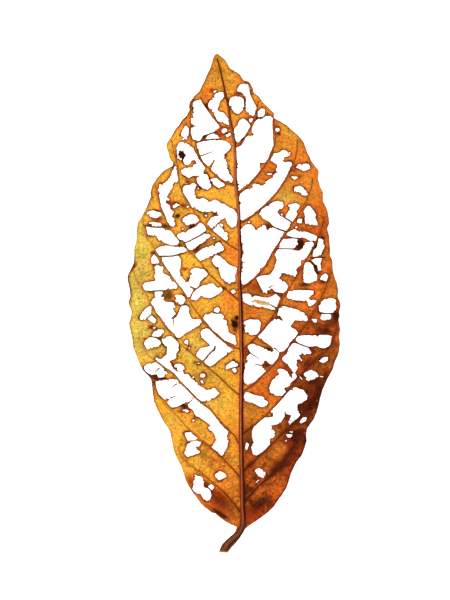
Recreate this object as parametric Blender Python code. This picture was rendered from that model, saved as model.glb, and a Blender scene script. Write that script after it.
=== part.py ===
"""Skeleton leaf: one dried leaf with insect-eaten holes, lying on three low spots of its blade.

Blade, midrib, side veins, raised net and stalk grew as one piece, so they are one closed solid.
The outlines below are in millimetres; the finished mesh is in metres, +Z up, tip towards +Y.
"""
import math
import random

import bmesh
import bpy
from mathutils import Vector
from mathutils.geometry import delaunay_2d_cdt

MM = 0.001

# Thicknesses and relief, mm.
BLADE_THICKNESS = 0.7
MIDRIB_RISE_TOP = 1.0
MIDRIB_RISE_UNDER = 0.35
STALK_RISE_UNDER = 0.75
SIDE_VEIN_RISE = 0.38
SIDE_VEIN_RISE_END = 0.16
NET_RISE = 0.2
NET_HALF_WIDTH = 0.4
UNDERSIDE_SHARE = 0.35
UNDERSIDE_LIMIT = 0.5
MIDRIB_FACETS = (-0.6, 0.0, 0.6)

# Half widths of the strips that stay standing across the holes, mm.
SIDE_VEIN_HALF = 0.48
SIDE_VEIN_HALF_END = 0.34
STRAND_HALF = 0.31

# The blade arches over the surface it lies on, mm.
CROWN_HEIGHT = 8.2
CROWN_Y = 8.0
TIP_Y = 75.0
BASE_Y = -67.0
TIP_DROP = 5.6
BASE_DROP = 3.4
STALK_DROP = 2.6
HALF_WIDTH = 31.8
SIDE_DROP = 5.0
SIDE_POWER = 1.7
WAVE_HEIGHT = 0.55
WAVE_LENGTH = 21.0
WAVE_SLANT = 0.4
MIDDLE_X = 1.0

# Three small flat spots carry the leaf: centre and the radius of the dip round each, mm.
REST_SPOTS = [
    ((-5.9, 68.4), 5.0),
    ((-19.8, -34.6), 11.0),
    ((19.6, -41.2), 11.0),
]
REST_SPOT_RADIUS = 1.3
REST_SPOT_SIDES = 8
REST_SPOT_RIM = 0.05

# Mesh density and spacing of the net, mm.
LONGEST_EDGE = 2.6
MIDRIB_STEP = 4.2
SIDE_VEIN_STEP = 4.4
MERGE_DISTANCE = 0.1
NET_STEP = 4.6
NET_POINT_STEP = 2.6
NET_BOW = 0.9
NET_CLEARANCE = 0.9
NET_TARGET_STEP = 1.5
NET_SEED = 7
CURVE_STEPS = 8

# Right-hand margin from the tip down to the stalk.
MARGIN_RIGHT = [
    (-5.1, 75.0), (-4.3, 74.4), (-3.3, 73.6), (-2.2, 72.5), (-1.5, 70.9), (-0.9, 70.2), (1.1, 69.1),
    (1.8, 68.5), (2.3, 67.6), (2.9, 66.8), (4.0, 66.6), (4.7, 66.1), (5.5, 64.5), (5.7, 63.2),
    (7.4, 61.8), (8.1, 60.9), (8.5, 60.1), (10.2, 58.7), (10.9, 57.9), (12.0, 57.0), (11.9, 55.5),
    (12.6, 55.0), (15.7, 53.4), (17.6, 51.7), (19.5, 49.9), (20.9, 48.0), (21.9, 45.0), (23.0, 42.9),
    (24.3, 40.9), (25.0, 40.3), (25.4, 39.5), (25.1, 37.3), (25.7, 35.1), (26.7, 33.1), (26.6, 30.7),
    (27.5, 28.8), (27.9, 27.8), (28.5, 24.0), (27.9, 22.2), (28.4, 20.2), (28.8, 15.3), (28.6, 14.3),
    (29.5, 12.7), (29.5, 10.2), (30.1, 8.1), (30.8, 6.0), (31.2, 3.6), (30.9, 2.0), (31.7, 0.3),
    (31.8, -0.8), (31.4, -2.8), (31.7, -3.8), (31.3, -5.2), (31.8, -7.6), (31.5, -10.5), (31.7, -12.5),
    (31.5, -14.3), (30.8, -16.4), (30.1, -18.0), (29.6, -19.9), (28.7, -21.4), (27.5, -23.8),
    (26.5, -26.0), (25.8, -28.2), (25.3, -30.5), (24.8, -32.8), (24.0, -34.9), (22.8, -36.4),
    (21.9, -37.6), (21.6, -39.4), (21.8, -41.5), (21.2, -43.6), (20.1, -46.0), (18.6, -47.8),
    (17.7, -49.6), (16.9, -51.6), (16.3, -53.5), (15.6, -55.5), (14.5, -57.3), (13.3, -58.9),
    (12.0, -60.8), (10.2, -62.7), (8.0, -64.4), (5.8, -65.9), (3.9, -67.1), (3.4, -67.7),
]

# Left-hand margin from the tip down to the stalk.
MARGIN_LEFT = [
    (-5.6, 74.8), (-6.1, 74.2), (-6.8, 71.8), (-7.2, 70.2), (-8.0, 68.4), (-8.8, 66.5), (-9.6, 65.3),
    (-10.4, 63.4), (-12.0, 62.1), (-13.2, 60.0), (-13.5, 58.9), (-13.3, 58.0), (-14.0, 56.3),
    (-15.6, 54.9), (-16.5, 53.3), (-17.5, 52.2), (-18.5, 50.2), (-20.1, 48.0), (-20.3, 47.0),
    (-19.5, 45.0), (-19.1, 43.2), (-18.1, 42.2), (-18.3, 41.0), (-20.0, 40.2), (-21.2, 39.5),
    (-23.0, 37.3), (-24.4, 35.3), (-25.0, 33.0), (-24.8, 32.0), (-25.6, 30.2), (-26.5, 28.0),
    (-27.7, 25.8), (-28.8, 24.2), (-29.1, 21.5), (-29.3, 18.5), (-29.9, 16.0), (-29.9, 12.0),
    (-31.0, 10.0), (-31.9, 8.0), (-31.7, 6.0), (-31.1, 2.0), (-31.8, 0.3), (-30.6, -2.8), (-31.4, -6.0),
    (-31.0, -8.0), (-30.5, -11.0), (-30.0, -14.0), (-29.0, -16.0), (-28.5, -17.6), (-27.5, -20.0),
    (-26.2, -21.4), (-25.1, -22.4), (-24.6, -24.0), (-24.4, -27.0), (-24.0, -29.5), (-22.9, -32.3),
    (-21.9, -34.4), (-20.8, -36.3), (-19.4, -38.2), (-18.6, -40.8), (-18.0, -44.0), (-17.1, -46.7),
    (-16.3, -48.0), (-15.2, -50.6), (-14.3, -53.4), (-12.8, -56.0), (-10.8, -58.9), (-9.0, -61.0),
    (-7.0, -62.5), (-6.3, -62.9), (-5.7, -62.8), (-4.0, -64.3), (-2.0, -65.7), (0.0, -66.7), (1.3, -67.4),
]

# Centre of the midrib and stalk from the tip to the cut end, with the half width there.
MIDRIB = [
    (-5.0, 73.4, 0.32), (-4.1, 70.0, 0.33), (-3.2, 66.0, 0.35), (-2.5, 62.5, 0.37), (-1.7, 59.0, 0.39),
    (-1.2, 55.0, 0.41), (-0.4, 51.0, 0.43), (0.2, 47.0, 0.45), (0.4, 43.0, 0.46), (0.4, 39.0, 0.47),
    (0.6, 35.0, 0.48), (1.1, 31.0, 0.50), (1.4, 27.0, 0.51), (1.5, 23.0, 0.52), (1.6, 19.0, 0.53),
    (1.8, 15.0, 0.54), (1.7, 11.0, 0.55), (1.6, 7.0, 0.56), (1.8, 3.0, 0.57), (2.0, -1.0, 0.58),
    (2.1, -5.0, 0.59), (2.2, -9.0, 0.60), (2.2, -13.0, 0.61), (2.3, -17.0, 0.62), (2.3, -21.0, 0.63),
    (2.2, -25.0, 0.63), (2.1, -29.0, 0.64), (2.1, -33.0, 0.65), (2.1, -37.0, 0.66), (2.1, -41.0, 0.66),
    (2.2, -45.0, 0.67), (2.3, -49.0, 0.68), (2.4, -53.0, 0.69), (2.5, -57.0, 0.71), (2.6, -61.0, 0.75),
    (2.7, -65.0, 0.83), (2.5, -67.3, 0.92), (1.4, -69.2, 1.00), (-0.1, -70.7, 1.06), (-1.6, -72.1, 1.10),
    (-2.7, -73.4, 1.16), (-3.15, -74.4, 1.25),
]
STALK_START_Y = -64.0

# Side veins from the midrib outwards, tip to base.
SIDE_VEINS_LEFT = [
    [(-0.9, 52.5), (-2.5, 52.5), (-4.0, 53.1), (-5.5, 54.8), (-7.2, 57.0), (-9.4, 60.0), (-10.0, 62.0)],
    [(0.3, 35.2), (-2.7, 35.9), (-5.0, 37.5), (-7.5, 40.3), (-9.7, 42.5), (-10.2, 43.8), (-12.7, 47.5),
     (-13.1, 51.0), (-13.1, 55.5), (-13.2, 57.6)],
    [(1.4, 15.7), (-2.0, 17.8), (-5.3, 20.6), (-8.5, 23.0), (-11.5, 26.8), (-14.5, 31.0), (-15.8, 33.9),
     (-16.5, 36.5), (-16.9, 41.0), (-18.0, 45.0), (-18.8, 49.0)],
    [(1.5, 0.8), (-1.5, 3.2), (-5.0, 6.5), (-8.2, 9.5), (-10.6, 12.9), (-13.5, 15.5), (-17.3, 19.8),
     (-20.6, 24.9), (-22.2, 29.3), (-23.3, 33.5), (-23.5, 35.5)],
    [(1.7, -13.8), (-1.5, -12.5), (-5.0, -9.9), (-8.2, -6.5), (-12.0, -1.6), (-15.0, 3.0), (-19.0, 8.3),
     (-22.4, 13.2), (-24.4, 17.3), (-26.4, 19.6), (-27.0, 21.6), (-27.3, 23.6), (-27.5, 25.6)],
    [(1.6, -27.6), (-1.6, -24.9), (-4.6, -21.9), (-7.8, -19.3), (-11.2, -16.2), (-14.8, -13.4),
     (-18.5, -9.8), (-21.5, -6.0), (-24.6, -1.0), (-26.2, 2.2), (-28.6, 5.6), (-30.2, 9.4)],
    [(1.3, -42.0), (0.0, -39.6), (-2.0, -37.8), (-5.0, -34.4), (-8.0, -31.1), (-9.4, -30.1),
     (-12.2, -28.0), (-15.1, -24.7), (-17.3, -22.3), (-20.0, -19.9), (-22.0, -18.6), (-25.0, -16.3),
     (-27.0, -14.0), (-28.7, -10.5)],
    [(1.4, -52.0), (0.3, -50.4), (-3.0, -47.0), (-7.0, -43.3), (-11.0, -40.3), (-15.0, -36.4),
     (-18.2, -32.8), (-21.0, -30.3), (-22.9, -27.4)],
    [(1.7, -62.6), (0.3, -60.5), (-3.5, -56.2), (-7.5, -52.9), (-11.5, -49.8), (-14.6, -47.4),
     (-16.2, -45.6), (-16.8, -43.4)],
]
SIDE_VEINS_RIGHT = [
    [(0.5, 46.8), (2.3, 47.7), (4.2, 51.3), (6.3, 54.8), (7.0, 57.2), (6.9, 59.0), (7.6, 60.8)],
    [(0.9, 32.6), (3.2, 34.1), (6.8, 38.0), (10.1, 42.5), (12.2, 47.5), (12.3, 52.0), (11.8, 55.6)],
    [(1.7, 23.7), (4.5, 25.3), (8.5, 28.5), (12.8, 33.0), (16.4, 38.5), (18.6, 44.5), (19.1, 49.0)],
    [(1.9, 4.0), (4.5, 5.9), (8.6, 9.8), (11.5, 15.0), (15.5, 20.8), (20.0, 27.5), (22.8, 33.5),
     (23.6, 37.5)],
    [(2.3, -14.2), (5.0, -11.8), (10.0, -6.4), (13.6, -0.4), (18.2, 7.2), (22.5, 14.4), (25.3, 19.6),
     (27.0, 25.6)],
    [(2.5, -26.4), (5.3, -24.8), (8.3, -22.0), (12.6, -17.8), (13.8, -15.6), (15.6, -14.2),
     (18.0, -11.0), (22.2, -5.5), (25.4, 0.2), (27.6, 5.0), (29.0, 9.4)],
    [(2.4, -39.3), (4.5, -37.8), (8.8, -34.3), (12.1, -31.0), (15.5, -27.2), (18.0, -24.0),
     (20.2, -21.4), (22.6, -19.0), (25.0, -16.4), (27.2, -14.7), (28.8, -13.2), (30.1, -9.9),
     (30.8, -6.6)],
    [(2.6, -50.6), (5.5, -47.9), (9.5, -44.3), (12.5, -41.2), (16.0, -38.0), (19.4, -34.9),
     (22.5, -30.6), (25.2, -25.8), (27.6, -20.8)],
    [(2.9, -60.0), (4.8, -57.7), (8.5, -53.8), (12.5, -50.6), (15.5, -46.5), (18.2, -42.9),
     (20.6, -39.2)],
]

# Holes left of the midrib, tip to base; one closed outline each.
HOLES_LEFT = [
    [(-6.3, 63.5), (-5.5, 64.1), (-5.2, 63.7), (-6.0, 63.1)],
    [(-4.2, 63.4), (-3.3, 63.3), (-2.9, 61.9), (-4.3, 60.6), (-4.2, 59.8), (-5.0, 58.3), (-4.7, 57.6),
     (-3.1, 57.3), (-1.7, 55.2), (-1.5, 53.3), (-3.0, 52.9), (-5.0, 54.2), (-8.1, 58.5), (-7.0, 61.0),
     (-5.6, 62.8)],
    [(-10.1, 61.0), (-12.0, 60.5), (-12.4, 59.8), (-12.3, 57.5), (-12.5, 56.4), (-11.8, 55.4),
     (-12.8, 55.6), (-13.0, 53.9), (-11.6, 53.1), (-12.9, 52.7), (-12.8, 51.0), (-12.3, 49.0),
     (-10.4, 48.5), (-9.3, 50.3), (-6.3, 51.3), (-4.3, 52.6), (-6.7, 55.7), (-9.3, 59.5)],
    [(-3.9, 51.6), (-3.3, 52.2), (-2.3, 52.2), (-2.0, 51.6), (-3.3, 50.8)],
    [(-2.6, 50.3), (-1.2, 51.0), (-0.9, 50.5), (-2.1, 49.6)],
    [(-8.8, 49.3), (-6.5, 50.8), (-5.4, 50.7), (-4.3, 49.4)],
    [(-11.3, 47.8), (-8.5, 48.6), (-5.0, 48.8), (-2.7, 48.7), (-0.9, 47.3), (-0.9, 46.6), (-2.7, 44.9),
     (-3.0, 44.3), (-1.9, 41.3), (-2.1, 40.5), (-1.4, 38.7), (-0.3, 37.3), (-0.7, 35.7), (-2.8, 36.2),
     (-6.3, 39.0), (-6.8, 40.3), (-5.6, 42.9), (-6.0, 43.0), (-7.5, 40.9), (-8.8, 41.6), (-9.7, 43.7)],
    [(-7.1, 37.2), (-5.2, 37.4), (-3.1, 35.8), (-2.9, 35.1), (-4.5, 34.3), (-6.2, 35.5)],
    [(-15.0, 53.0), (-14.4, 53.4), (-13.6, 52.5), (-13.9, 49.1), (-15.6, 48.9), (-15.8, 50.5)],
    [(-15.0, 48.3), (-16.2, 48.3), (-17.3, 46.8), (-17.3, 45.5), (-17.0, 43.3), (-15.6, 42.6),
     (-14.7, 41.5), (-14.0, 41.3), (-13.0, 41.8), (-12.7, 42.8), (-11.4, 42.8), (-12.4, 40.6),
     (-14.5, 40.5), (-16.0, 39.6), (-15.2, 38.4), (-13.5, 37.4), (-12.0, 38.3), (-10.2, 38.0),
     (-11.4, 37.4), (-11.0, 36.0), (-9.0, 34.2), (-8.0, 33.8), (-6.8, 34.8), (-7.6, 37.3), (-8.0, 38.6),
     (-9.2, 38.6), (-8.6, 40.4), (-10.2, 42.3), (-10.9, 44.3), (-13.3, 47.4)],
    [(-17.6, 41.2), (-17.1, 41.4), (-17.1, 39.6), (-16.6, 37.2), (-17.3, 36.0), (-18.2, 35.9),
     (-18.9, 33.2), (-20.3, 31.9), (-19.1, 30.9), (-20.6, 30.2), (-19.4, 29.4), (-19.2, 28.4),
     (-18.0, 27.3), (-18.7, 26.0), (-17.7, 25.0), (-17.6, 23.1), (-18.4, 22.8), (-19.6, 23.6),
     (-21.9, 28.6), (-23.3, 33.0), (-22.3, 35.0), (-22.6, 35.6), (-20.6, 36.1), (-19.5, 37.3),
     (-18.2, 40.2)],
    [(-26.3, 26.8), (-25.3, 27.6), (-24.2, 27.7), (-22.0, 27.1), (-21.8, 26.1), (-23.4, 25.4),
     (-25.2, 25.9)],
    [(-25.7, 24.1), (-24.0, 24.4), (-22.0, 24.0), (-21.5, 23.5), (-21.9, 22.9), (-24.4, 22.9)],
    [(-26.6, 22.9), (-25.6, 23.0), (-24.5, 22.5), (-21.5, 22.4), (-19.3, 21.8), (-18.3, 20.8),
     (-17.3, 19.6), (-16.3, 18.0), (-17.2, 17.3), (-19.0, 17.4), (-22.7, 18.9), (-23.2, 20.2),
     (-26.3, 20.4)],
    [(-23.5, 16.2), (-20.5, 17.3), (-18.2, 16.8), (-14.9, 16.8), (-14.1, 15.7), (-16.7, 14.5),
     (-19.0, 14.1), (-22.6, 14.3)],
    [(-24.0, 14.6), (-24.9, 13.3), (-24.7, 11.9), (-22.8, 11.9), (-22.4, 12.3)],
    [(-21.6, 13.7), (-19.0, 13.9), (-16.6, 14.1), (-15.8, 12.8), (-15.9, 11.2), (-16.4, 9.6),
     (-15.3, 7.2), (-13.9, 6.1), (-13.1, 7.5), (-13.2, 9.9), (-11.5, 10.5), (-9.3, 10.2), (-8.0, 9.0),
     (-8.0, 8.2), (-10.3, 6.3), (-10.4, 5.1), (-11.5, 4.5), (-13.3, 5.2), (-12.2, 4.0), (-13.5, 1.7),
     (-14.0, 1.8), (-16.0, 4.6), (-18.4, 8.0), (-21.5, 11.7)],
    [(-24.1, 10.8), (-22.7, 11.4), (-21.1, 10.8), (-21.3, 9.1), (-19.3, 7.9), (-19.3, 7.1), (-17.2, 5.9),
     (-17.0, 4.4), (-20.5, 4.0), (-24.2, 3.9), (-27.0, 3.7), (-28.0, 4.8), (-27.2, 6.0), (-23.5, 6.7),
     (-24.1, 8.5), (-23.6, 8.9)],
    [(-24.0, 3.2), (-21.2, 3.3), (-21.6, 2.7), (-20.7, 1.2), (-20.6, 0.4), (-18.3, 0.1), (-17.4, -1.3),
     (-18.2, -2.1), (-17.3, -3.1), (-18.9, -4.6), (-18.3, -4.8), (-17.0, -4.1), (-16.2, -1.7),
     (-15.8, -0.9), (-14.2, -0.7), (-13.4, -1.5), (-13.7, -2.5), (-12.5, -5.0), (-10.2, -4.8),
     (-9.6, -5.9), (-12.0, -7.6), (-14.3, -9.1), (-16.9, -10.5), (-18.3, -8.8), (-20.4, -6.7),
     (-22.0, -4.2), (-24.0, -1.8), (-23.9, -1.1), (-24.9, -0.7), (-25.0, 0.6), (-23.6, 1.7)],
    [(-17.8, 2.4), (-16.5, 2.6), (-15.0, 2.0), (-14.4, 0.8), (-15.2, -0.4), (-16.2, -0.4), (-17.6, 0.4)],
    [(-18.4, 29.0), (-17.3, 29.9), (-16.1, 29.4), (-18.0, 28.4)],
    [(-15.6, 25.0), (-14.0, 26.4), (-12.2, 26.7), (-10.4, 24.7), (-12.0, 23.7), (-14.2, 23.3),
     (-15.4, 24.3)],
    [(-10.1, 24.1), (-8.3, 21.9), (-10.0, 20.3), (-12.2, 19.2), (-14.7, 18.3), (-16.2, 19.1),
     (-17.1, 20.3), (-14.5, 21.7), (-11.6, 22.7)],
    [(-9.0, 20.7), (-7.3, 20.7), (-6.8, 20.3), (-9.0, 18.4), (-11.0, 17.1), (-12.3, 15.8), (-13.6, 15.9),
     (-14.6, 17.8), (-11.5, 19.3)],
    [(-4.5, 18.3), (-3.0, 16.7), (-3.1, 15.9), (-6.0, 14.4), (-9.9, 12.6), (-10.6, 12.8), (-11.8, 14.4),
     (-9.0, 16.4), (-6.0, 17.4)],
    [(-15.9, 34.8), (-13.9, 35.3), (-12.0, 36.1), (-10.9, 35.1), (-12.0, 34.0), (-11.6, 32.4),
     (-11.0, 31.1), (-9.0, 31.5), (-7.2, 30.3), (-5.8, 31.0), (-3.5, 29.9), (-0.6, 28.3), (0.7, 27.3),
     (0.7, 22.7), (-0.9, 22.7), (-2.2, 24.0), (-2.7, 25.7), (-4.5, 24.3), (-6.6, 22.2), (-8.3, 23.3),
     (-6.2, 26.0), (-4.2, 26.1), (-5.8, 27.2), (-9.3, 27.3), (-11.2, 28.0), (-13.6, 29.5),
     (-15.4, 33.0)],
    [(-6.3, 21.9), (-4.2, 23.8), (-3.0, 23.6), (-3.6, 22.2), (-2.1, 21.3), (-1.7, 19.2), (-2.1, 18.7),
     (-3.8, 19.2)],
    [(-6.0, 14.2), (-4.4, 14.2), (-1.5, 11.4), (0.8, 10.5), (0.9, 9.0), (0.3, 8.6), (0.5, 6.4),
     (-1.5, 5.7), (-3.6, 7.0), (-4.6, 10.2), (-6.8, 12.2)],
    [(-7.8, 5.7), (-6.3, 5.8), (-5.3, 4.7), (-3.9, 4.8), (-3.3, 3.8), (-6.0, 1.8), (-7.8, 1.5),
     (-9.8, 2.0), (-11.8, 0.6), (-13.0, 1.0), (-12.2, 3.1), (-10.3, 4.8)],
    [(-1.0, 3.6), (-0.1, 4.2), (0.6, 3.3), (-0.3, 2.8)],
    [(-6.1, -2.0), (-5.0, -1.1), (-4.1, -1.9), (-4.7, -2.9), (-6.0, -2.6)],
    [(-8.4, -3.2), (-6.6, -2.8), (-5.8, -3.3), (-3.7, -3.3), (-2.2, -5.5), (-1.6, -8.8), (0.4, -9.8),
     (0.8, -12.3), (-0.4, -12.8), (-3.9, -10.4), (-6.5, -8.1), (-9.4, -4.6)],
    [(-9.9, -8.5), (-8.6, -7.4), (-7.3, -8.0), (-4.9, -10.5), (-1.1, -13.5), (-0.2, -14.1), (-2.6, -15.7),
     (-4.8, -17.3), (-6.8, -19.0), (-8.0, -19.1), (-9.4, -17.6), (-10.9, -16.6), (-11.7, -15.5),
     (-11.2, -14.8), (-9.8, -13.4), (-7.2, -12.9), (-8.0, -11.6), (-9.9, -10.3)],
    [(-25.1, -0.8), (-24.9, -3.4), (-27.2, -5.3), (-28.6, -4.7), (-27.4, -2.5)],
    [(-24.7, -3.7), (-23.4, -5.0), (-23.7, -6.2), (-25.9, -4.8)],
    [(-24.3, -7.2), (-23.3, -7.4), (-24.2, -7.8)],
    [(-22.9, -7.9), (-21.4, -8.0), (-21.0, -8.6), (-22.4, -10.2), (-24.7, -9.8), (-24.0, -8.6)],
    [(-25.6, -10.3), (-23.3, -10.6), (-21.9, -11.5), (-22.1, -12.9), (-23.9, -13.2), (-26.2, -14.2),
     (-27.3, -12.5)],
    [(-21.7, -10.8), (-20.2, -10.1), (-18.4, -9.9), (-16.8, -11.8), (-16.3, -13.7), (-17.5, -15.2),
     (-17.1, -16.3), (-18.3, -17.1), (-19.7, -17.2), (-18.9, -18.2), (-18.9, -18.9), (-17.5, -20.4),
     (-16.3, -21.0), (-17.9, -19.1), (-17.8, -18.6), (-16.4, -18.2), (-15.2, -18.8), (-14.8, -19.4),
     (-15.3, -21.2), (-13.7, -21.4), (-12.5, -23.0), (-11.3, -23.6), (-10.8, -24.9), (-10.3, -24.7),
     (-8.3, -26.3), (-6.0, -25.4), (-4.2, -27.1), (-5.7, -28.2), (-8.0, -29.6), (-9.5, -29.5),
     (-12.2, -27.6), (-15.4, -24.0), (-17.6, -21.3), (-19.8, -19.6), (-21.9, -18.4), (-23.9, -17.0),
     (-23.1, -16.3), (-21.9, -16.9), (-20.1, -15.3), (-20.1, -13.0), (-21.3, -12.4)],
    [(-14.9, -11.7), (-14.4, -11.0), (-13.8, -11.1), (-13.8, -12.5), (-14.7, -12.1)],
    [(-27.0, -19.1), (-26.0, -18.2), (-23.6, -17.8), (-21.6, -19.3), (-19.8, -21.0), (-21.2, -22.2),
     (-23.0, -22.3), (-23.0, -21.4), (-25.0, -21.5), (-26.7, -20.2)],
    [(-23.4, -23.4), (-20.5, -23.1), (-17.5, -22.8), (-16.4, -23.8), (-16.5, -24.5), (-15.6, -24.3),
     (-13.8, -26.7), (-12.3, -28.3), (-10.1, -29.9), (-9.4, -30.7), (-7.6, -32.0), (-4.1, -36.3),
     (-2.8, -37.7), (-1.7, -38.3), (-2.2, -39.8), (-1.6, -41.6), (-2.1, -43.2), (-3.5, -45.9),
     (-4.0, -46.1), (-7.0, -43.3), (-5.5, -41.5), (-5.9, -39.5), (-6.4, -38.6), (-7.9, -37.8),
     (-7.3, -36.6), (-9.8, -34.7), (-11.7, -33.9), (-12.5, -31.9), (-13.5, -31.6), (-13.8, -30.6),
     (-13.4, -29.8), (-15.7, -30.4), (-17.3, -31.4), (-19.3, -31.6), (-20.2, -30.0), (-19.3, -28.8),
     (-20.8, -29.2), (-22.5, -27.5), (-23.5, -24.4)],
    [(-15.7, -32.2), (-14.3, -31.9), (-13.4, -32.6), (-14.2, -33.0)],
    [(-9.9, -21.2), (-8.9, -21.1), (-8.5, -21.8), (-9.2, -22.4), (-10.3, -22.2)],
    [(-10.1, -23.0), (-9.3, -23.4), (-9.1, -24.2), (-9.8, -24.0)],
    [(-2.7, -19.3), (-2.0, -18.3), (-0.3, -17.4), (0.5, -17.4), (1.3, -18.3), (1.1, -18.9), (-0.4, -19.3),
     (-2.3, -19.9)],
    [(-0.7, -19.9), (0.4, -19.5), (0.8, -20.4), (0.3, -21.0)],
    [(-14.9, -39.0), (-12.9, -38.9), (-10.8, -40.7), (-11.9, -41.2), (-13.0, -41.7), (-14.2, -41.1)],
    [(-11.5, -41.4), (-9.8, -41.8), (-9.4, -42.2), (-11.0, -43.5), (-10.2, -44.9), (-12.2, -45.6),
     (-14.5, -46.5), (-15.5, -45.6), (-14.6, -44.2), (-14.0, -42.5)],
    [(-5.9, -51.4), (-4.4, -50.4), (-2.4, -51.1), (-2.2, -52.2), (-4.5, -53.2), (-5.5, -52.5)],
    [(-12.0, -51.3), (-10.9, -51.9), (-9.7, -52.0), (-9.0, -53.2), (-9.1, -55.3), (-7.9, -55.6),
     (-6.8, -57.3), (-7.1, -59.0), (-8.3, -59.5), (-9.3, -58.6), (-9.8, -57.3), (-11.2, -57.1),
     (-12.3, -55.9), (-12.0, -53.2)],
    [(-7.8, -54.9), (-6.7, -54.3), (-5.9, -55.2), (-6.6, -56.1)],
]

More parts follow.
